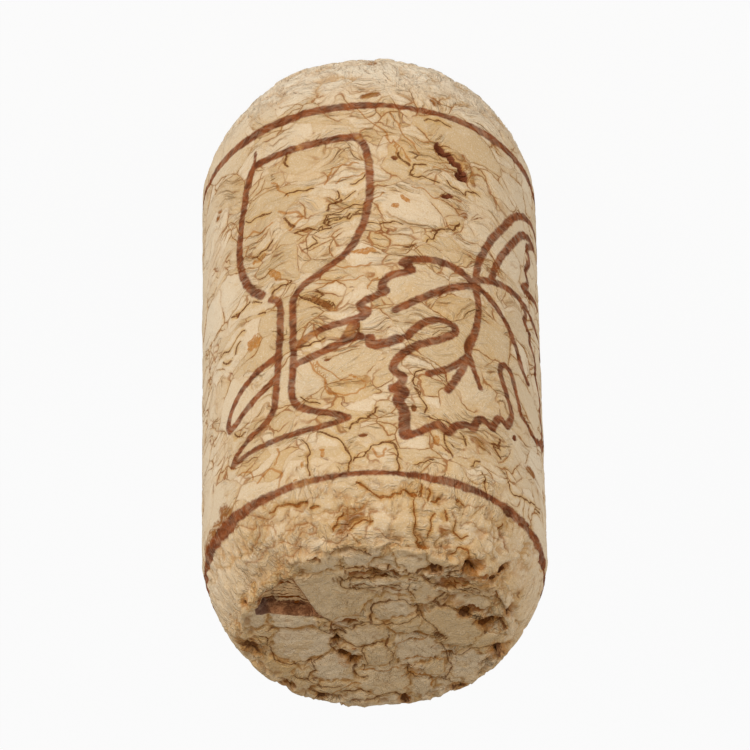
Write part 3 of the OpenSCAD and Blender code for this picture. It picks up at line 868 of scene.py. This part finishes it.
def shoulder_depth(right, up, below):
    """How far the rim beside the broken corner slopes down, in mm, from a height in mm below the end."""
    (x0, y0), (x1, y1) = CORNER[:2]
    length = math.hypot(x1 - x0, y1 - y0)
    beyond = ((y1 - y0) * (right - x0) - (x1 - x0) * (up - y0)) / length
    along = ((x1 - x0) * (right - x0) + (y1 - y0) * (up - y0)) / length ** 2
    window = smooth_between(along, -0.3, 0.1) * smooth_between(along, 1.3, 0.9)
    return SHOULDER * np.clip(beyond, 0, 1) * window * smooth_between(below, 2.2, 0.4)


def marked(right, up, marks):
    """1 at the middle of the nearest of the marks, 0 at its edge, less outside."""
    nearest = np.full(len(right), -1.0)
    for centre, half_length, half_width, lean in marks:
        nearest = np.maximum(nearest, in_mark(right, up, centre, half_length, half_width, lean))
    return nearest


# Depths in mm of cracks and seams on the upper end and on the bevels
END_GAP = 0.3
BEVEL_GAP = 0.25
# How dark dents are, from 0 to 1
DENT_GLOOM = 0.85
# The distance in mm that is stored outside the broken corner
OUTSIDE_CORNER = -2.0
# The most that the relief rises above the plain outline, in mm
HIGHEST_RELIEF = 0.1
# How close in mm a point lies to an end face to be on it
ON_FACE = 0.01
# For the painted shade of recesses: how widely the mean depth round a point is taken, and the depth in mm
# below it that is a full recess
RECESS_ROUNDS = 6
RECESS_DEPTH = 0.1
STEEPNESS = 1.5


def add_attribute(mesh, name, values):
    """Stores a number or a vector at each point."""
    kind, field = ("FLOAT", "value") if values.ndim == 1 else ("FLOAT_VECTOR", "vector")
    made = mesh.attributes.new(name, kind, "POINT")
    made.data.foreach_set(field, values.astype(np.float32).ravel())


def read_attribute(mesh, name):
    values = np.zeros(len(mesh.vertices), np.float32)
    mesh.attributes[name].data.foreach_get("value", values)
    return values.astype(float)


def recesses(mesh, outs, depth):
    """How much each point lies in a recess or on a steep side of one, from 0 to 1, for the painted warm
    shade there.
    """
    ends = np.zeros(len(mesh.edges) * 2, np.int32)
    mesh.edges.foreach_get("vertices", ends)
    start, end = ends.reshape(-1, 2).T
    count = np.bincount(ends, minlength=len(depth))
    mean = depth
    for _ in range(RECESS_ROUNDS):
        near = np.bincount(start, mean[end], len(depth)) + np.bincount(end, mean[start], len(depth))
        mean = (mean + near / count) / 2
    normals = np.zeros(len(depth) * 3, np.float32)
    mesh.vertices.foreach_get("normal", normals)
    steep = 1 - (normals.reshape(-1, 3) * outs).sum(1)
    return np.clip((depth - mean) / RECESS_DEPTH + steep * STEEPNESS, 0, 1)


# Relief in mm of the grooves round granules and of the granules themselves: first on the wall, then
# on the worn bevels and upper end
GROOVE_RELIEF = (-0.08, -0.18)
GRANULE_RELIEF = (0.04, 0.22)
# Swelling of the layers and roughness, in mm for noise that runs from -0.5 to 0.5
WALL_SWELL, END_SWELL, FAR_BEVEL_SWELL, NEAR_BEVEL_SWELL, TORN_SWELL = 0.12, 0.3, 0.3, 0.75, 1.0
WALL_ROUGH, FAR_ROUGH, NEAR_ROUGH, CRUMB_ROUGH = 0.05, 0.1, 0.2, 0.8
# How deep the end's crumbs lie
CRUMB_SINK = 0.1
# Folds and chips of the upper rim: their depth factor, and how far they reach from the rim
RIM_CHIPS = 3.2
RIM_REACH = 1.5


def grain_relief(cork):
    """The granules' relief in mm at each point, from the same expressions that colour them."""
    tree = bpy.data.node_groups.new("granule_relief", "GeometryNodeTree")
    for way in ("INPUT", "OUTPUT"):
        tree.interface.new_socket("Geometry", in_out=way, socket_type="NodeSocketGeometry")
    f = Surface(tree)
    loose = f.grains.loose
    upper = f.step(f.parts(f.place)[2], MIDDLE - 5, MIDDLE + 5)
    swell, rough = f.ripple(f.drawn, 1.2, 1.5, 0.5), f.ripple(f.place, 0.8, 2.0, 0.6)
    swell_depth = f.choose(f.bevel, f.choose(f.top, WALL_SWELL, END_SWELL),
                           f.choose(upper, FAR_BEVEL_SWELL, NEAR_BEVEL_SWELL))
    rough_depth = f.choose(f.worn, WALL_ROUGH, f.choose(upper, FAR_ROUGH, NEAR_ROUGH))
    patchy = f.step(f.noise(f.place, 0.5), 0.35, 0.65, 0.25, 1.0)
    groove = f.product(f.step(f.grains.edge, 0.35, 0.0), patchy)
    along_rim = f.vector("MULTIPLY", f.spread, (0.4, 0.4, 1.0))
    chips = f.least(f.ripple(along_rim, 0.8, 2.0, 0.5), 0.0)
    relief = f.total(
        f.product(groove, f.choose(f.worn, *GROOVE_RELIEF), f.choose(loose, 1.0, 0.4)),
        f.product(f.minus(f.grains.tone, 0.5), f.choose(f.worn, *GRANULE_RELIEF)),
        f.product(swell, swell_depth),
        f.product(f.torn, swell, TORN_SWELL),
        f.product(rough, rough_depth),
        f.product(loose, f.total(-CRUMB_SINK, f.product(rough, CRUMB_ROUGH))),
        f.product(f.step(f.size(f.inward), RIM_REACH, 0.0), chips, RIM_CHIPS),
    )
    stored = {"Geometry": f.node("NodeGroupInput").outputs[0], "Name": "relief", "Value": relief}
    kept = f.node("GeometryNodeStoreNamedAttribute", stored, data_type="FLOAT", domain="POINT")
    f.node("NodeGroupOutput", {0: kept.outputs[0]})
    cork.modifiers.new("relief", "NODES").node_group = tree
    bpy.context.view_layer.update()
    evaluated = cork.evaluated_get(bpy.context.evaluated_depsgraph_get())
    heights = read_attribute(evaluated.data, "relief")
    cork.modifiers.clear()
    return heights


class Points:
    """Where each point of the mesh lies, in the ways that the marks are given in."""

    def __init__(self, places):
        x, y, self.z = places.T
        self.radius = np.hypot(x, y)
        self.angle = np.arctan2(x, -y)
        self.right, self.up = -self.angle * WALL_R, MIDDLE - self.z
        self.end_right, self.end_up = -x, -y
        self.on_wall = self.radius > FACE_R
        self.on_end = ~self.on_wall & (self.z > MIDDLE)
        from_end = np.minimum(self.z, LENGTH - self.z)
        self.bevel = (smooth_between(BEVEL_LENGTH + 0.3 - from_end, 0, 2.0)
                      * smooth_between(self.radius, FACE_R - 1.2, FACE_R))


def store_gaps(mesh, at):
    """Stores how near each point is to a crack or seam, and returns the depth that they cut there."""
    right, up = wobbled(at.right, at.up), wobbled(at.up, at.right)
    end_right, end_up = at.end_right[at.on_end], at.end_up[at.on_end]
    end_right, end_up = wobbled(end_right, end_up), wobbled(end_up, end_right)
    deepest = END_GAP * at.on_end + BEVEL_GAP * at.bevel * at.on_wall
    depth = np.zeros(len(at.z))
    for name, on_side, on_top in (("crack", CRACKS, END_CRACKS), ("seam", SEAMS, END_SEAMS)):
        distance, sideways = stroke_distance(right, up, on_side)
        distance[~at.on_wall], sideways[~at.on_wall] = REACH, NO_SIDE
        distance[at.on_end], sideways[at.on_end] = stroke_distance(end_right, end_up, on_top)
        add_attribute(mesh, name, distance)
        add_attribute(mesh, name + "_side", sideways)
        depth = np.maximum(depth, deepest * smooth_between(distance, 0.06, -0.2))
    return depth


def store_marks(mesh, at):
    """Stores the thin ink, stains, brown patches, smooth granules and torn places."""
    wall_marks = {"thin_ink": THIN_INK, "stain": STAINS, "patch": PATCHES, "smooth": SMOOTH}
    for name, marks in wall_marks.items():
        mark = np.where(at.on_wall, marked(at.right, at.up, marks), -1.0)
        if name == "patch":
            mark[at.on_end] = marked(at.end_right[at.on_end], at.end_up[at.on_end], END_PATCHES)
        add_attribute(mesh, name, mark)
    torn = marked(at.end_right, at.end_up, TORN)
    add_attribute(mesh, "torn", np.where(at.z > LENGTH - 1, torn, -1.0))


def store_hollows(mesh, at):
    """Stores the hollows and dents and how dark they are, and returns their depth."""
    hollow, gloom = np.full(len(at.z), -1.0), np.full(len(at.z), DENT_GLOOM)
    depth = np.zeros(len(at.z))
    for centre, half_length, half_width, lean, deepest, darkness in HOLLOWS:
        inside = np.where(at.on_wall, in_mark(at.right, at.up, centre, half_length, half_width, lean), -1)
        gloom = np.where(inside > np.maximum(hollow, -0.8), darkness, gloom)
        hollow = np.maximum(hollow, inside)
        depth = np.maximum(depth, deepest * smooth_between(inside, -0.15, 0.5))
    for (right, up, below), size, deepest in DENTS:
        level = LENGTH - below
        gap = np.sqrt((at.end_right - right) ** 2 + (at.end_up - up) ** 2 + (level - at.z) ** 2)
        inside = 1 - gap / size
        hollow = np.maximum(hollow, inside)
        depth = np.maximum(depth, deepest * smooth_between(inside, -0.1, 0.6))
    add_attribute(mesh, "hollow", hollow)
    add_attribute(mesh, "gloom", gloom)
    return depth


def make_cork():
    """The granule cork as one closed mesh in metres."""
    places, outs, paths, faces = body_mesh()
    mesh = bpy.data.meshes.new("cork_granules")
    mesh.from_pydata((places * MM).tolist(), [], faces.tolist())
    cork = bpy.data.objects.new("cork_granules", mesh)
    bpy.context.scene.collection.objects.link(cork)
    at = Points(places)
    add_attribute(mesh, "place", places)
    # The lower face's layers run across it, and not round its middle
    reach = WALL_R * np.where(at.z > MIDDLE, 1, np.minimum(at.radius / FACE_R, 1))
    spread = [reach * np.sin(at.angle), reach * np.cos(at.angle), paths]
    add_attribute(mesh, "spread", np.stack(spread, -1))
    add_attribute(mesh, "bevel", at.bevel)
    add_attribute(mesh, "inward", np.where(at.z > MIDDLE, FACE_R - at.radius, -5))
    ink = np.minimum(stroke_distance(at.right, at.up, STROKES)[0], ring_distance(at.right, at.up))
    add_attribute(mesh, "ink", np.where(at.on_wall, ink, REACH))
    on_face = at.z > LENGTH - ON_FACE
    corner = np.where(on_face, inside_polygon(at.end_right, at.end_up, CORNER), OUTSIDE_CORNER)
    add_attribute(mesh, "corner", np.maximum(corner, OUTSIDE_CORNER))
    store_marks(mesh, at)
    broken = np.where(on_face, corner_depth(at.end_right, at.end_up), 0)
    shoulder = shoulder_depth(at.end_right, at.end_up, LENGTH - at.z)
    depth = np.maximum.reduce([store_hollows(mesh, at), store_gaps(mesh, at), broken, shoulder])

    # The relief is calmer beside the broken corner, and the lower face stays within its plain outline
    calmer = 1 - 0.7 * smooth_between(shoulder, 0, 0.2)
    relief = np.minimum(grain_relief(cork), HIGHEST_RELIEF) * calmer - depth
    relief = np.where(at.z < ON_FACE, np.minimum(relief, 0) * 0.8, relief)
    moved = places + outs * relief[:, None]
    mesh.vertices.foreach_set("co", (moved * MM).astype(np.float32).ravel())
    sunk = places - outs * depth[:, None]
    mesh.attributes["place"].data.foreach_set("vector", sunk.astype(np.float32).ravel())
    mesh.shade_smooth()
    mesh.update()
    # Where the material paints warm shade: recesses and steep sides of the displaced mesh
    add_attribute(mesh, "recess", recesses(mesh, outs, -relief))
    return cork


# ---------------------------------------------------------------- the material
CREAM = srgb(229, 204, 169)
TAN = srgb(212, 181, 138)
HONEY = srgb(208, 162, 96)
# Pale cream: the grain's pale flecks, and also the painted light and sheen of the far end, flanks and
# bevels
PALE_AND_SHEEN = srgb(246, 232, 208)
# Brown of lines and seams, also used as painted shade in the torn places and as the painted shadow round
# the broken corner
LINE_AND_SHADE_BROWN = srgb(146, 78, 22)
DARK_BROWN = srgb(80, 32, 8)
HOLE_RED = srgb(118, 58, 38)
CRACK_BROWN = srgb(104, 48, 12)
STAIN_BROWN = srgb(186, 122, 56)
FLOOR_TAN = srgb(238, 194, 140)
WALL_BROWN = srgb(180, 126, 86)
WALL_GREY = srgb(132, 114, 102)
# Warm tan of the painted shade in recesses and on steep sides
RECESS_SHADE_TAN = srgb(176, 120, 62)
PATCH_BROWN = srgb(152, 98, 54)
INK_LIGHT = srgb(150, 80, 42)
INK_DARK = srgb(96, 44, 24)
# The cork is matt
ROUGHNESS = 0.8
SPECULAR = 0.0


def cleared_tree(owner):
    """The empty node tree of a material or a world."""
    owner.use_nodes = True
    owner.node_tree.nodes.clear()
    return owner.node_tree


def add_patterns(f):
    """Keeps the patterns that the colours share, and where the layers show."""
    f.x, f.y, f.z = f.parts(f.place)
    f.layer = layers(f)
    f.patchy = f.noise(f.place, 0.5)
    f.speckle = f.noise(f.place, 6.0, 2.0, 0.6)
    f.pores = f.noise(f.place, 9.0)
    f.ragged = f.ripple(f.place, 2.4, 2.0, 0.6)
    f.tear = f.ripple(f.place, 1.7, 3.0, 0.6)

    # Smooth granules of the wall and whole ones of the end hardly show their layers
    plain = f.step(f.frayed(f.read("smooth"), 0.8), 0.0, 0.15)
    plain = f.most(plain, f.product(f.top, f.minus(1.0, f.grains.loose)))
    shown = f.product(f.choose(plain, 1.0, f.choose(f.top, 0.25, 0.5)), f.choose(f.bevel, 1.0, 0.7))
    f.shown = f.most(f.product(shown, f.step(f.size(f.x), 8.0, 11.0, 1.0, 0.5)), f.torn)
    f.calm = f.product(f.step(f.grains.edge, 0.0, 0.15), f.shown, f.beside, f.grains.calm)


def paint_granules(f):
    """The tone of each granule and the bands of its layers, painted sheen on the flanks, painted light
    and sheen on the far end, painted warm shade in recesses, and painted shade and highlights on the torn
    places.
    """
    ridges = f.layer.ridges
    f.colour = f.tint(f.step(f.grains.tone, 0.0, 1.0), CREAM, TAN)
    f.cover(f.product(f.step(f.grains.lean, 0.75, 0.95), 0.3), HONEY)
    f.cover(f.product(f.step(ridges, 0.5, 0.3), f.choose(f.worn, 0.25, 0.45), f.shown), HONEY)
    f.cover(f.product(f.step(ridges, 0.52, 0.75), 0.45), CREAM)
    f.cover(f.product(f.step(f.noise(f.place, 0.9, 2.0, 0.5), 0.5, 0.75), 0.3, f.shown), HONEY)
    f.cover(f.product(f.bevel, f.step(ridges, 0.7, 0.4, 0.15, 0.4)), HONEY)
    # Painted light and sheen: the lower end paler as though lit from below, the flanks paler as sheen at
    # a grazing view, and a faint pale veil on both bevels
    far_end_light, flank_sheen = f.step(f.z, 8.0, 2.0, 0.0, 0.85), f.step(f.size(f.x), 8.0, 12.0, 0.0, 0.4)
    f.cover(f.most(far_end_light, f.product(f.bevel, 0.1), flank_sheen), PALE_AND_SHEEN)
    f.cover(f.step(f.pores, 0.45, 0.25, 0.0, 0.35), HONEY)
    f.cover(f.step(f.pores, 0.55, 0.75, 0.0, 0.35), PALE_AND_SHEEN)
    f.cover(f.product(f.top, 0.12), HONEY)
    # Painted warm shade in recesses and on steep sides, less on the bevels and towards the lower end
    recess = f.product(f.step(f.read("recess"), 0.1, 0.9), f.step(f.z, 4.0, 10.0, 0.2, 1.0))
    f.cover(f.product(recess, f.choose(f.bevel, 0.8, 0.35)), RECESS_SHADE_TAN)
    # Torn places: painted shade where their layers sink and painted highlight where they swell, following
    # the noise of their relief
    swell = f.noise(f.drawn, 1.2, 1.5, 0.5)
    f.cover(f.product(f.torn, f.step(swell, 0.52, 0.36), 0.8), LINE_AND_SHADE_BROWN)
    f.cover(f.product(f.torn, f.step(swell, 0.54, 0.64), 0.5), CREAM)


def paint_stains(f):
    """Brown patches, and orange stains."""
    rubbed = f.step(f.frayed(f.read("patch"), 1.4), -0.2, 0.4)
    rubbed = f.product(rubbed, f.step(f.layer.ridges, 0.65, 0.4, 0.3, 1.0))
    f.cover(f.product(rubbed, f.choose(f.top, 1.0, 0.6)), f.tint(f.top, PATCH_BROWN, STAIN_BROWN))
    spot = f.step(f.frayed(f.read("stain"), 1.5), 0.0, 0.2)
    f.cover(f.product(spot, f.step(f.speckle, 0.3, 0.6, 0.5, 0.95)), STAIN_BROWN)


def paint_lines(f):
    """The granules' outlines and growth lines, with the warm tint beside them, and the seams. On the
    upper end the tint beside outlines and cracks is partly painted warm shade in their grooves.
    """
    f.outline = f.frayed(f.grains.edge, 0.1)
    f.crack, seam, seam_side = f.read("crack"), f.read("seam"), f.size(f.read("seam_side"))
    cracked = f.frayed(f.crack, 0.25)
    across = f.product(f.size(f.read("crack_side")), f.choose(f.top, 1.0, 1.3))
    f.crack_line = f.product(f.step(across, 1.3, 0.6), f.step(cracked, 0.24, 0.1))
    f.seam_line = f.product(f.step(seam_side, 1.4, 0.4), f.step(f.frayed(seam, 0.25), 0.24, 0.1))
    halo = f.product(f.step(f.outline, 0.4, 0.0), f.step(f.patchy, 0.4, 0.7, 0.1, 0.55))
    # On the upper end the tint spreads over the grooves round the granules as painted warm shade
    halo = f.most(halo, f.product(f.top, f.step(f.outline, 0.2, 0.04, 0.0, 0.45)))
    # Beside cracks the tint, and the brown after it, are stronger on the upper end, partly as painted
    # warm shade in their grooves
    beside_crack = f.step(cracked, 0.35, 0.0, 0.0, f.choose(f.top, 0.7, 0.35))
    f.cover(f.most(halo, f.product(f.layer.warmth, 0.45, f.shown), beside_crack), HONEY)
    f.cover(f.product(f.choose(f.top, f.bevel, 0.6), f.step(cracked, 0.22, 0.02), 0.3), STAIN_BROWN)
    f.cover(f.product(f.seam_line, f.choose(f.bevel, 0.75, 0.2)), STAIN_BROWN)
    f.cover(f.product(f.step(seam_side, 0.55, 0.15), f.seam_line, f.bevel, 0.4), LINE_AND_SHADE_BROWN)
    on_side = f.product(f.step(f.outline, 0.09, 0.02), f.step(f.patchy, 0.38, 0.6, 0.1, 0.7))
    on_side = f.product(on_side, f.choose(f.bevel, 1.0, 0.35))
    f.line = f.choose(f.top, on_side, f.step(f.outline, 0.06, 0.02, 0.0, 0.45))
    strength = f.choose(f.bevel, f.choose(f.top, 0.42, 0.8), 0.45)
    growth = f.product(f.layer.lines, strength, f.shown)
    f.cover(f.most(growth, f.product(f.layer.faint, 0.25, f.shown), f.line), LINE_AND_SHADE_BROWN)


def paint_gaps(f):
    """The cracks, and the brown rims of the holes. Keeps how dark the gaps and the holes are."""
    gaps = f.product(f.step(f.outline, 0.1, 0.0), f.step(f.noise(f.place, 0.9, 2.0), 0.62, 0.7))
    cores = f.product(f.layer.cores, f.choose(f.worn, 0.35, 0.6), f.shown)
    f.gaps = f.most(f.product(gaps, 0.55), cores)
    beads = f.step(f.speckle, 0.3, 0.5, 0.4, 0.85)
    wide = f.choose(f.top, 1.0, f.step(f.crack, -0.03, -0.13, 0.75, 1.0))
    f.cover(f.product(f.crack_line, beads, wide), f.tint(f.bevel, CRACK_BROWN, LINE_AND_SHADE_BROWN))
    hollow = f.read("hollow")
    pit = f.step(f.frayed(hollow, 0.6), -0.15, 0.1)
    torn_hollow = f.total(hollow, f.product(f.tear, 1.6))
    f.hole = f.choose(f.worn, pit, f.step(f.frayed(torn_hollow, 0.6), 0.15, 0.4))
    f.cover(f.product(f.step(torn_hollow, -0.3, 0.15, 0.0, 0.6), f.step(hollow, -0.6, -0.2)), STAIN_BROWN)


def paint_corner(f):
    """The broken corner's bowed terraces, a painted shadow line round its outline, and the wall that they
    fall to, and then all dark places.
    """
    corner, right, up = f.read("corner"), f.product(f.x, -1.0), f.product(f.y, -1.0)
    from_wall = f.total(f.product(right, WALL_NORMAL[0]), f.product(up, WALL_NORMAL[1]), WALL_OFFSET)
    from_tip = f.minus(right, CORNER[0][0])
    fallen = f.total(from_wall, f.product(from_tip, from_tip, BOW), f.product(f.ragged, 0.3), -1.0)
    f.stair = f.size(f.minus(f.math("FRACT", f.math("DIVIDE", fallen, TERRACE_STEP)), 0.7))
    f.corner_floor = f.step(corner, -0.05, 0.1)
    f.cover(f.product(f.corner_floor, f.step(f.speckle, 0.3, 0.7, 0.6, 1.0)), FLOOR_TAN)
    f.cover(f.product(f.corner_floor, f.step(f.stair, 0.26, 0.1, 0.0, 1.0)), LINE_AND_SHADE_BROWN)
    # Painted shadow: a thin brown line round the broken corner, where its rim drops into the break
    f.cover(f.step(f.size(f.minus(corner, 0.05)), 0.14, 0.05, 0.0, 0.6), LINE_AND_SHADE_BROWN)
    foot = f.step(f.frayed(from_wall, 1.0), 0.5, 0.35)
    wall = f.product(f.step(corner, -0.3, -0.2), f.step(from_wall, -0.25, -0.1), foot)
    f.cover(f.product(wall, 0.95), WALL_BROWN)
    f.cover(f.product(wall, f.step(right, -7.1, -7.7, 0.0, 0.7)), WALL_GREY)
    f.line = f.product(f.line, f.minus(1.0, f.corner_floor))
    hollow_dark = f.product(f.hole, f.read("gloom"), 0.9, f.minus(1.0, f.product(f.corner_floor, 0.9)))
    f.dark = f.most(f.gaps, hollow_dark, f.product(wall, f.step(f.tear, -0.06, 0.08, 0.0, 0.6)))
    f.cover(f.dark, f.tint(f.worn, HOLE_RED, DARK_BROWN))


def paint_ink(f):
    """The ink: soft at its edges, darker where more of it lay, and thin where the print is worn."""
    thin = f.read("thin_ink")
    wet = f.product(
        f.step(f.frayed(f.read("ink"), 0.25), 0.09, -0.09),
        f.step(f.speckle, 0.25, 0.4, 0.8, 0.96),
        f.step(f.layer.ridges, 0.65, 0.4, 0.8, 1.0),
        f.step(thin, 0.0, 0.8, 1.0, 0.9),
    )
    ink = f.tint(f.step(f.noise(f.place, 1.3, 2.0, 0.6), 0.3, 0.7), INK_DARK, INK_LIGHT)
    bare = f.product(f.step(thin, 0.0, 0.7), f.step(f.ragged, -0.1, 0.1, 0.3, 0.8))
    ink = f.tint(bare, ink, STAIN_BROWN)
    f.cover(f.product(wet, f.minus(1.0, f.product(f.dark, 0.6))), ink)


def fine_relief(f):
    """The relief in mm that is too fine for the mesh."""
    layer, calm = f.layer, f.calm
    ridge_depth = f.choose(f.worn, 0.25, f.choose(f.top, 0.48, 0.6))
    return f.total(
        f.product(f.most(layer.lines, f.product(layer.faint, 0.5)), calm, -0.04),
        f.product(layer.steps, calm, f.choose(f.bevel, 0.055, 0.08)),
        f.product(f.line, -0.05),
        f.product(f.crack_line, -0.05),
        f.product(f.seam_line, -0.02),
        f.product(f.hole, -0.06),
        f.product(f.corner_floor, f.step(f.stair, 0.25, 0.0), -0.1),
        f.product(f.minus(layer.ridges, 0.5), ridge_depth, calm),
        f.product(f.speckle, 0.04),
        f.product(f.pores, 0.03),
    )


def cork_material():
    material = bpy.data.materials.new("bonded_cork")
    f = Surface(cleared_tree(material))
    add_patterns(f)
    for paint in (paint_granules, paint_stains, paint_lines, paint_gaps, paint_corner, paint_ink):
        paint(f)
    bump = f.node("ShaderNodeBump", {"Height": fine_relief(f), "Distance": MM, "Strength": 1.0})
    look = {
        "Base Color": f.colour,
        "Normal": bump.outputs[0],
        "Roughness": ROUGHNESS,
        "Specular IOR Level": SPECULAR,
    }
    shader = f.node("ShaderNodeBsdfPrincipled", look)
    f.node("ShaderNodeOutputMaterial", {"Surface": shader.outputs[0]})
    return material


# ---------------------------------------------------------------- floor, lights and camera
# The floor in metres: half its side, and how far it lies below the cork
FLOOR_HALF = 1.5
FLOOR_DROP = 0.00002
FLOOR_GREY = 0.8
# How bright the floor is where the camera sees it, and the even light of the studio
FLOOR_SEEN = 0.93
STUDIO_LIGHT = 0.5
WHITE = (1, 1, 1, 1)
# Square lamps that face the cork's middle: name, place and side in metres, power in watts
LAMPS = [
    ("key", (0.3, -0.5, 0.05), 0.2, 2.26),
    ("fill", (-0.5, -0.3, 0.08), 0.3, 1.05),
]
# The camera: degrees above level, roll in degrees, metres from the cork's middle, and its lens
CAMERA_RISE = 38.45
CAMERA_ROLL = 180 - 0.95
CAMERA_DISTANCE = 0.4931
CAMERA_LENS = 333.9
CAMERA_SHIFT = (0.0044, 0.0053)
AIM = Vector((0, 0, MIDDLE * MM))


def seen_directly(f):
    """1 for the rays that show the background, also in glossy and clear things, and 0 for its light."""
    ray = f.node("ShaderNodeLightPath").outputs
    return f.most(ray["Is Camera Ray"], ray["Is Glossy Ray"], ray["Is Transmission Ray"])


def facing(direction):
    """The turn that points a lamp or camera along a direction."""
    return direction.to_track_quat("-Z", "Y")


def make_floor():
    mesh = bpy.data.meshes.new("floor")
    corners = [(-1, -1), (1, -1), (1, 1), (-1, 1)]
    mesh.from_pydata([(x * FLOOR_HALF, y * FLOOR_HALF, 0) for x, y in corners], [], [range(4)])
    floor = bpy.data.objects.new("floor", mesh)
    bpy.context.scene.collection.objects.link(floor)
    floor.location.z = -FLOOR_DROP
    material = bpy.data.materials.new("pale_floor")
    f = Field(cleared_tree(material))
    paint = f.node("ShaderNodeBsdfDiffuse", {"Color": (FLOOR_GREY, FLOOR_GREY, FLOOR_GREY, 1)})
    glow = f.node("ShaderNodeEmission")
    share = f.product(seen_directly(f), FLOOR_SEEN)
    mixed = f.node("ShaderNodeMixShader", {0: share, 1: paint.outputs[0], 2: glow.outputs[0]})
    f.node("ShaderNodeOutputMaterial", {"Surface": mixed.outputs[0]})
    mesh.materials.append(material)
    return floor


def make_world():
    world = bpy.data.worlds.new("studio")
    bpy.context.scene.world = world
    f = Field(cleared_tree(world))
    light = f.node("ShaderNodeBackground", {"Color": WHITE, "Strength": STUDIO_LIGHT})
    seen = f.node("ShaderNodeBackground", {"Color": WHITE, "Strength": 1.0})
    mixed = f.node("ShaderNodeMixShader", {0: seen_directly(f), 1: light.outputs[0], 2: seen.outputs[0]})
    f.node("ShaderNodeOutputWorld", {"Surface": mixed.outputs[0]})


def make_lamp(name, place, side, power):
    lamp = bpy.data.lights.new(name, "AREA")
    lamp.shape = "SQUARE"
    lamp.size = side
    lamp.energy = power
    light = bpy.data.objects.new(name, lamp)
    bpy.context.scene.collection.objects.link(light)
    light.location = place
    light.rotation_mode = "QUATERNION"
    light.rotation_quaternion = facing(AIM - light.location)


def make_camera():
    """Looks down at the middle of the side that faces -Y, upside down, as the cork was photographed."""
    lens = bpy.data.cameras.new("camera")
    camera = bpy.data.objects.new("camera", lens)
    bpy.context.scene.collection.objects.link(camera)
    rise = math.radians(CAMERA_RISE)
    back = Vector((0, -math.cos(rise), math.sin(rise)))
    camera.location = AIM + back * CAMERA_DISTANCE
    roll = Matrix.Rotation(math.radians(CAMERA_ROLL), 3, "Z")
    camera.rotation_euler = (facing(-back).to_matrix() @ roll).to_euler()
    lens.sensor_width = 36
    lens.lens = CAMERA_LENS
    lens.shift_x, lens.shift_y = CAMERA_SHIFT
    lens.clip_start, lens.clip_end = 0.01, 10
    bpy.context.scene.camera = camera


make_camera()
floor = make_floor()
make_world()
for lamp in LAMPS:
    make_lamp(*lamp)

cork = make_cork()
cork.data.materials.append(cork_material())
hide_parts("cork")
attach(cork, "root")

bpy.context.scene.view_settings.view_transform = "Standard"
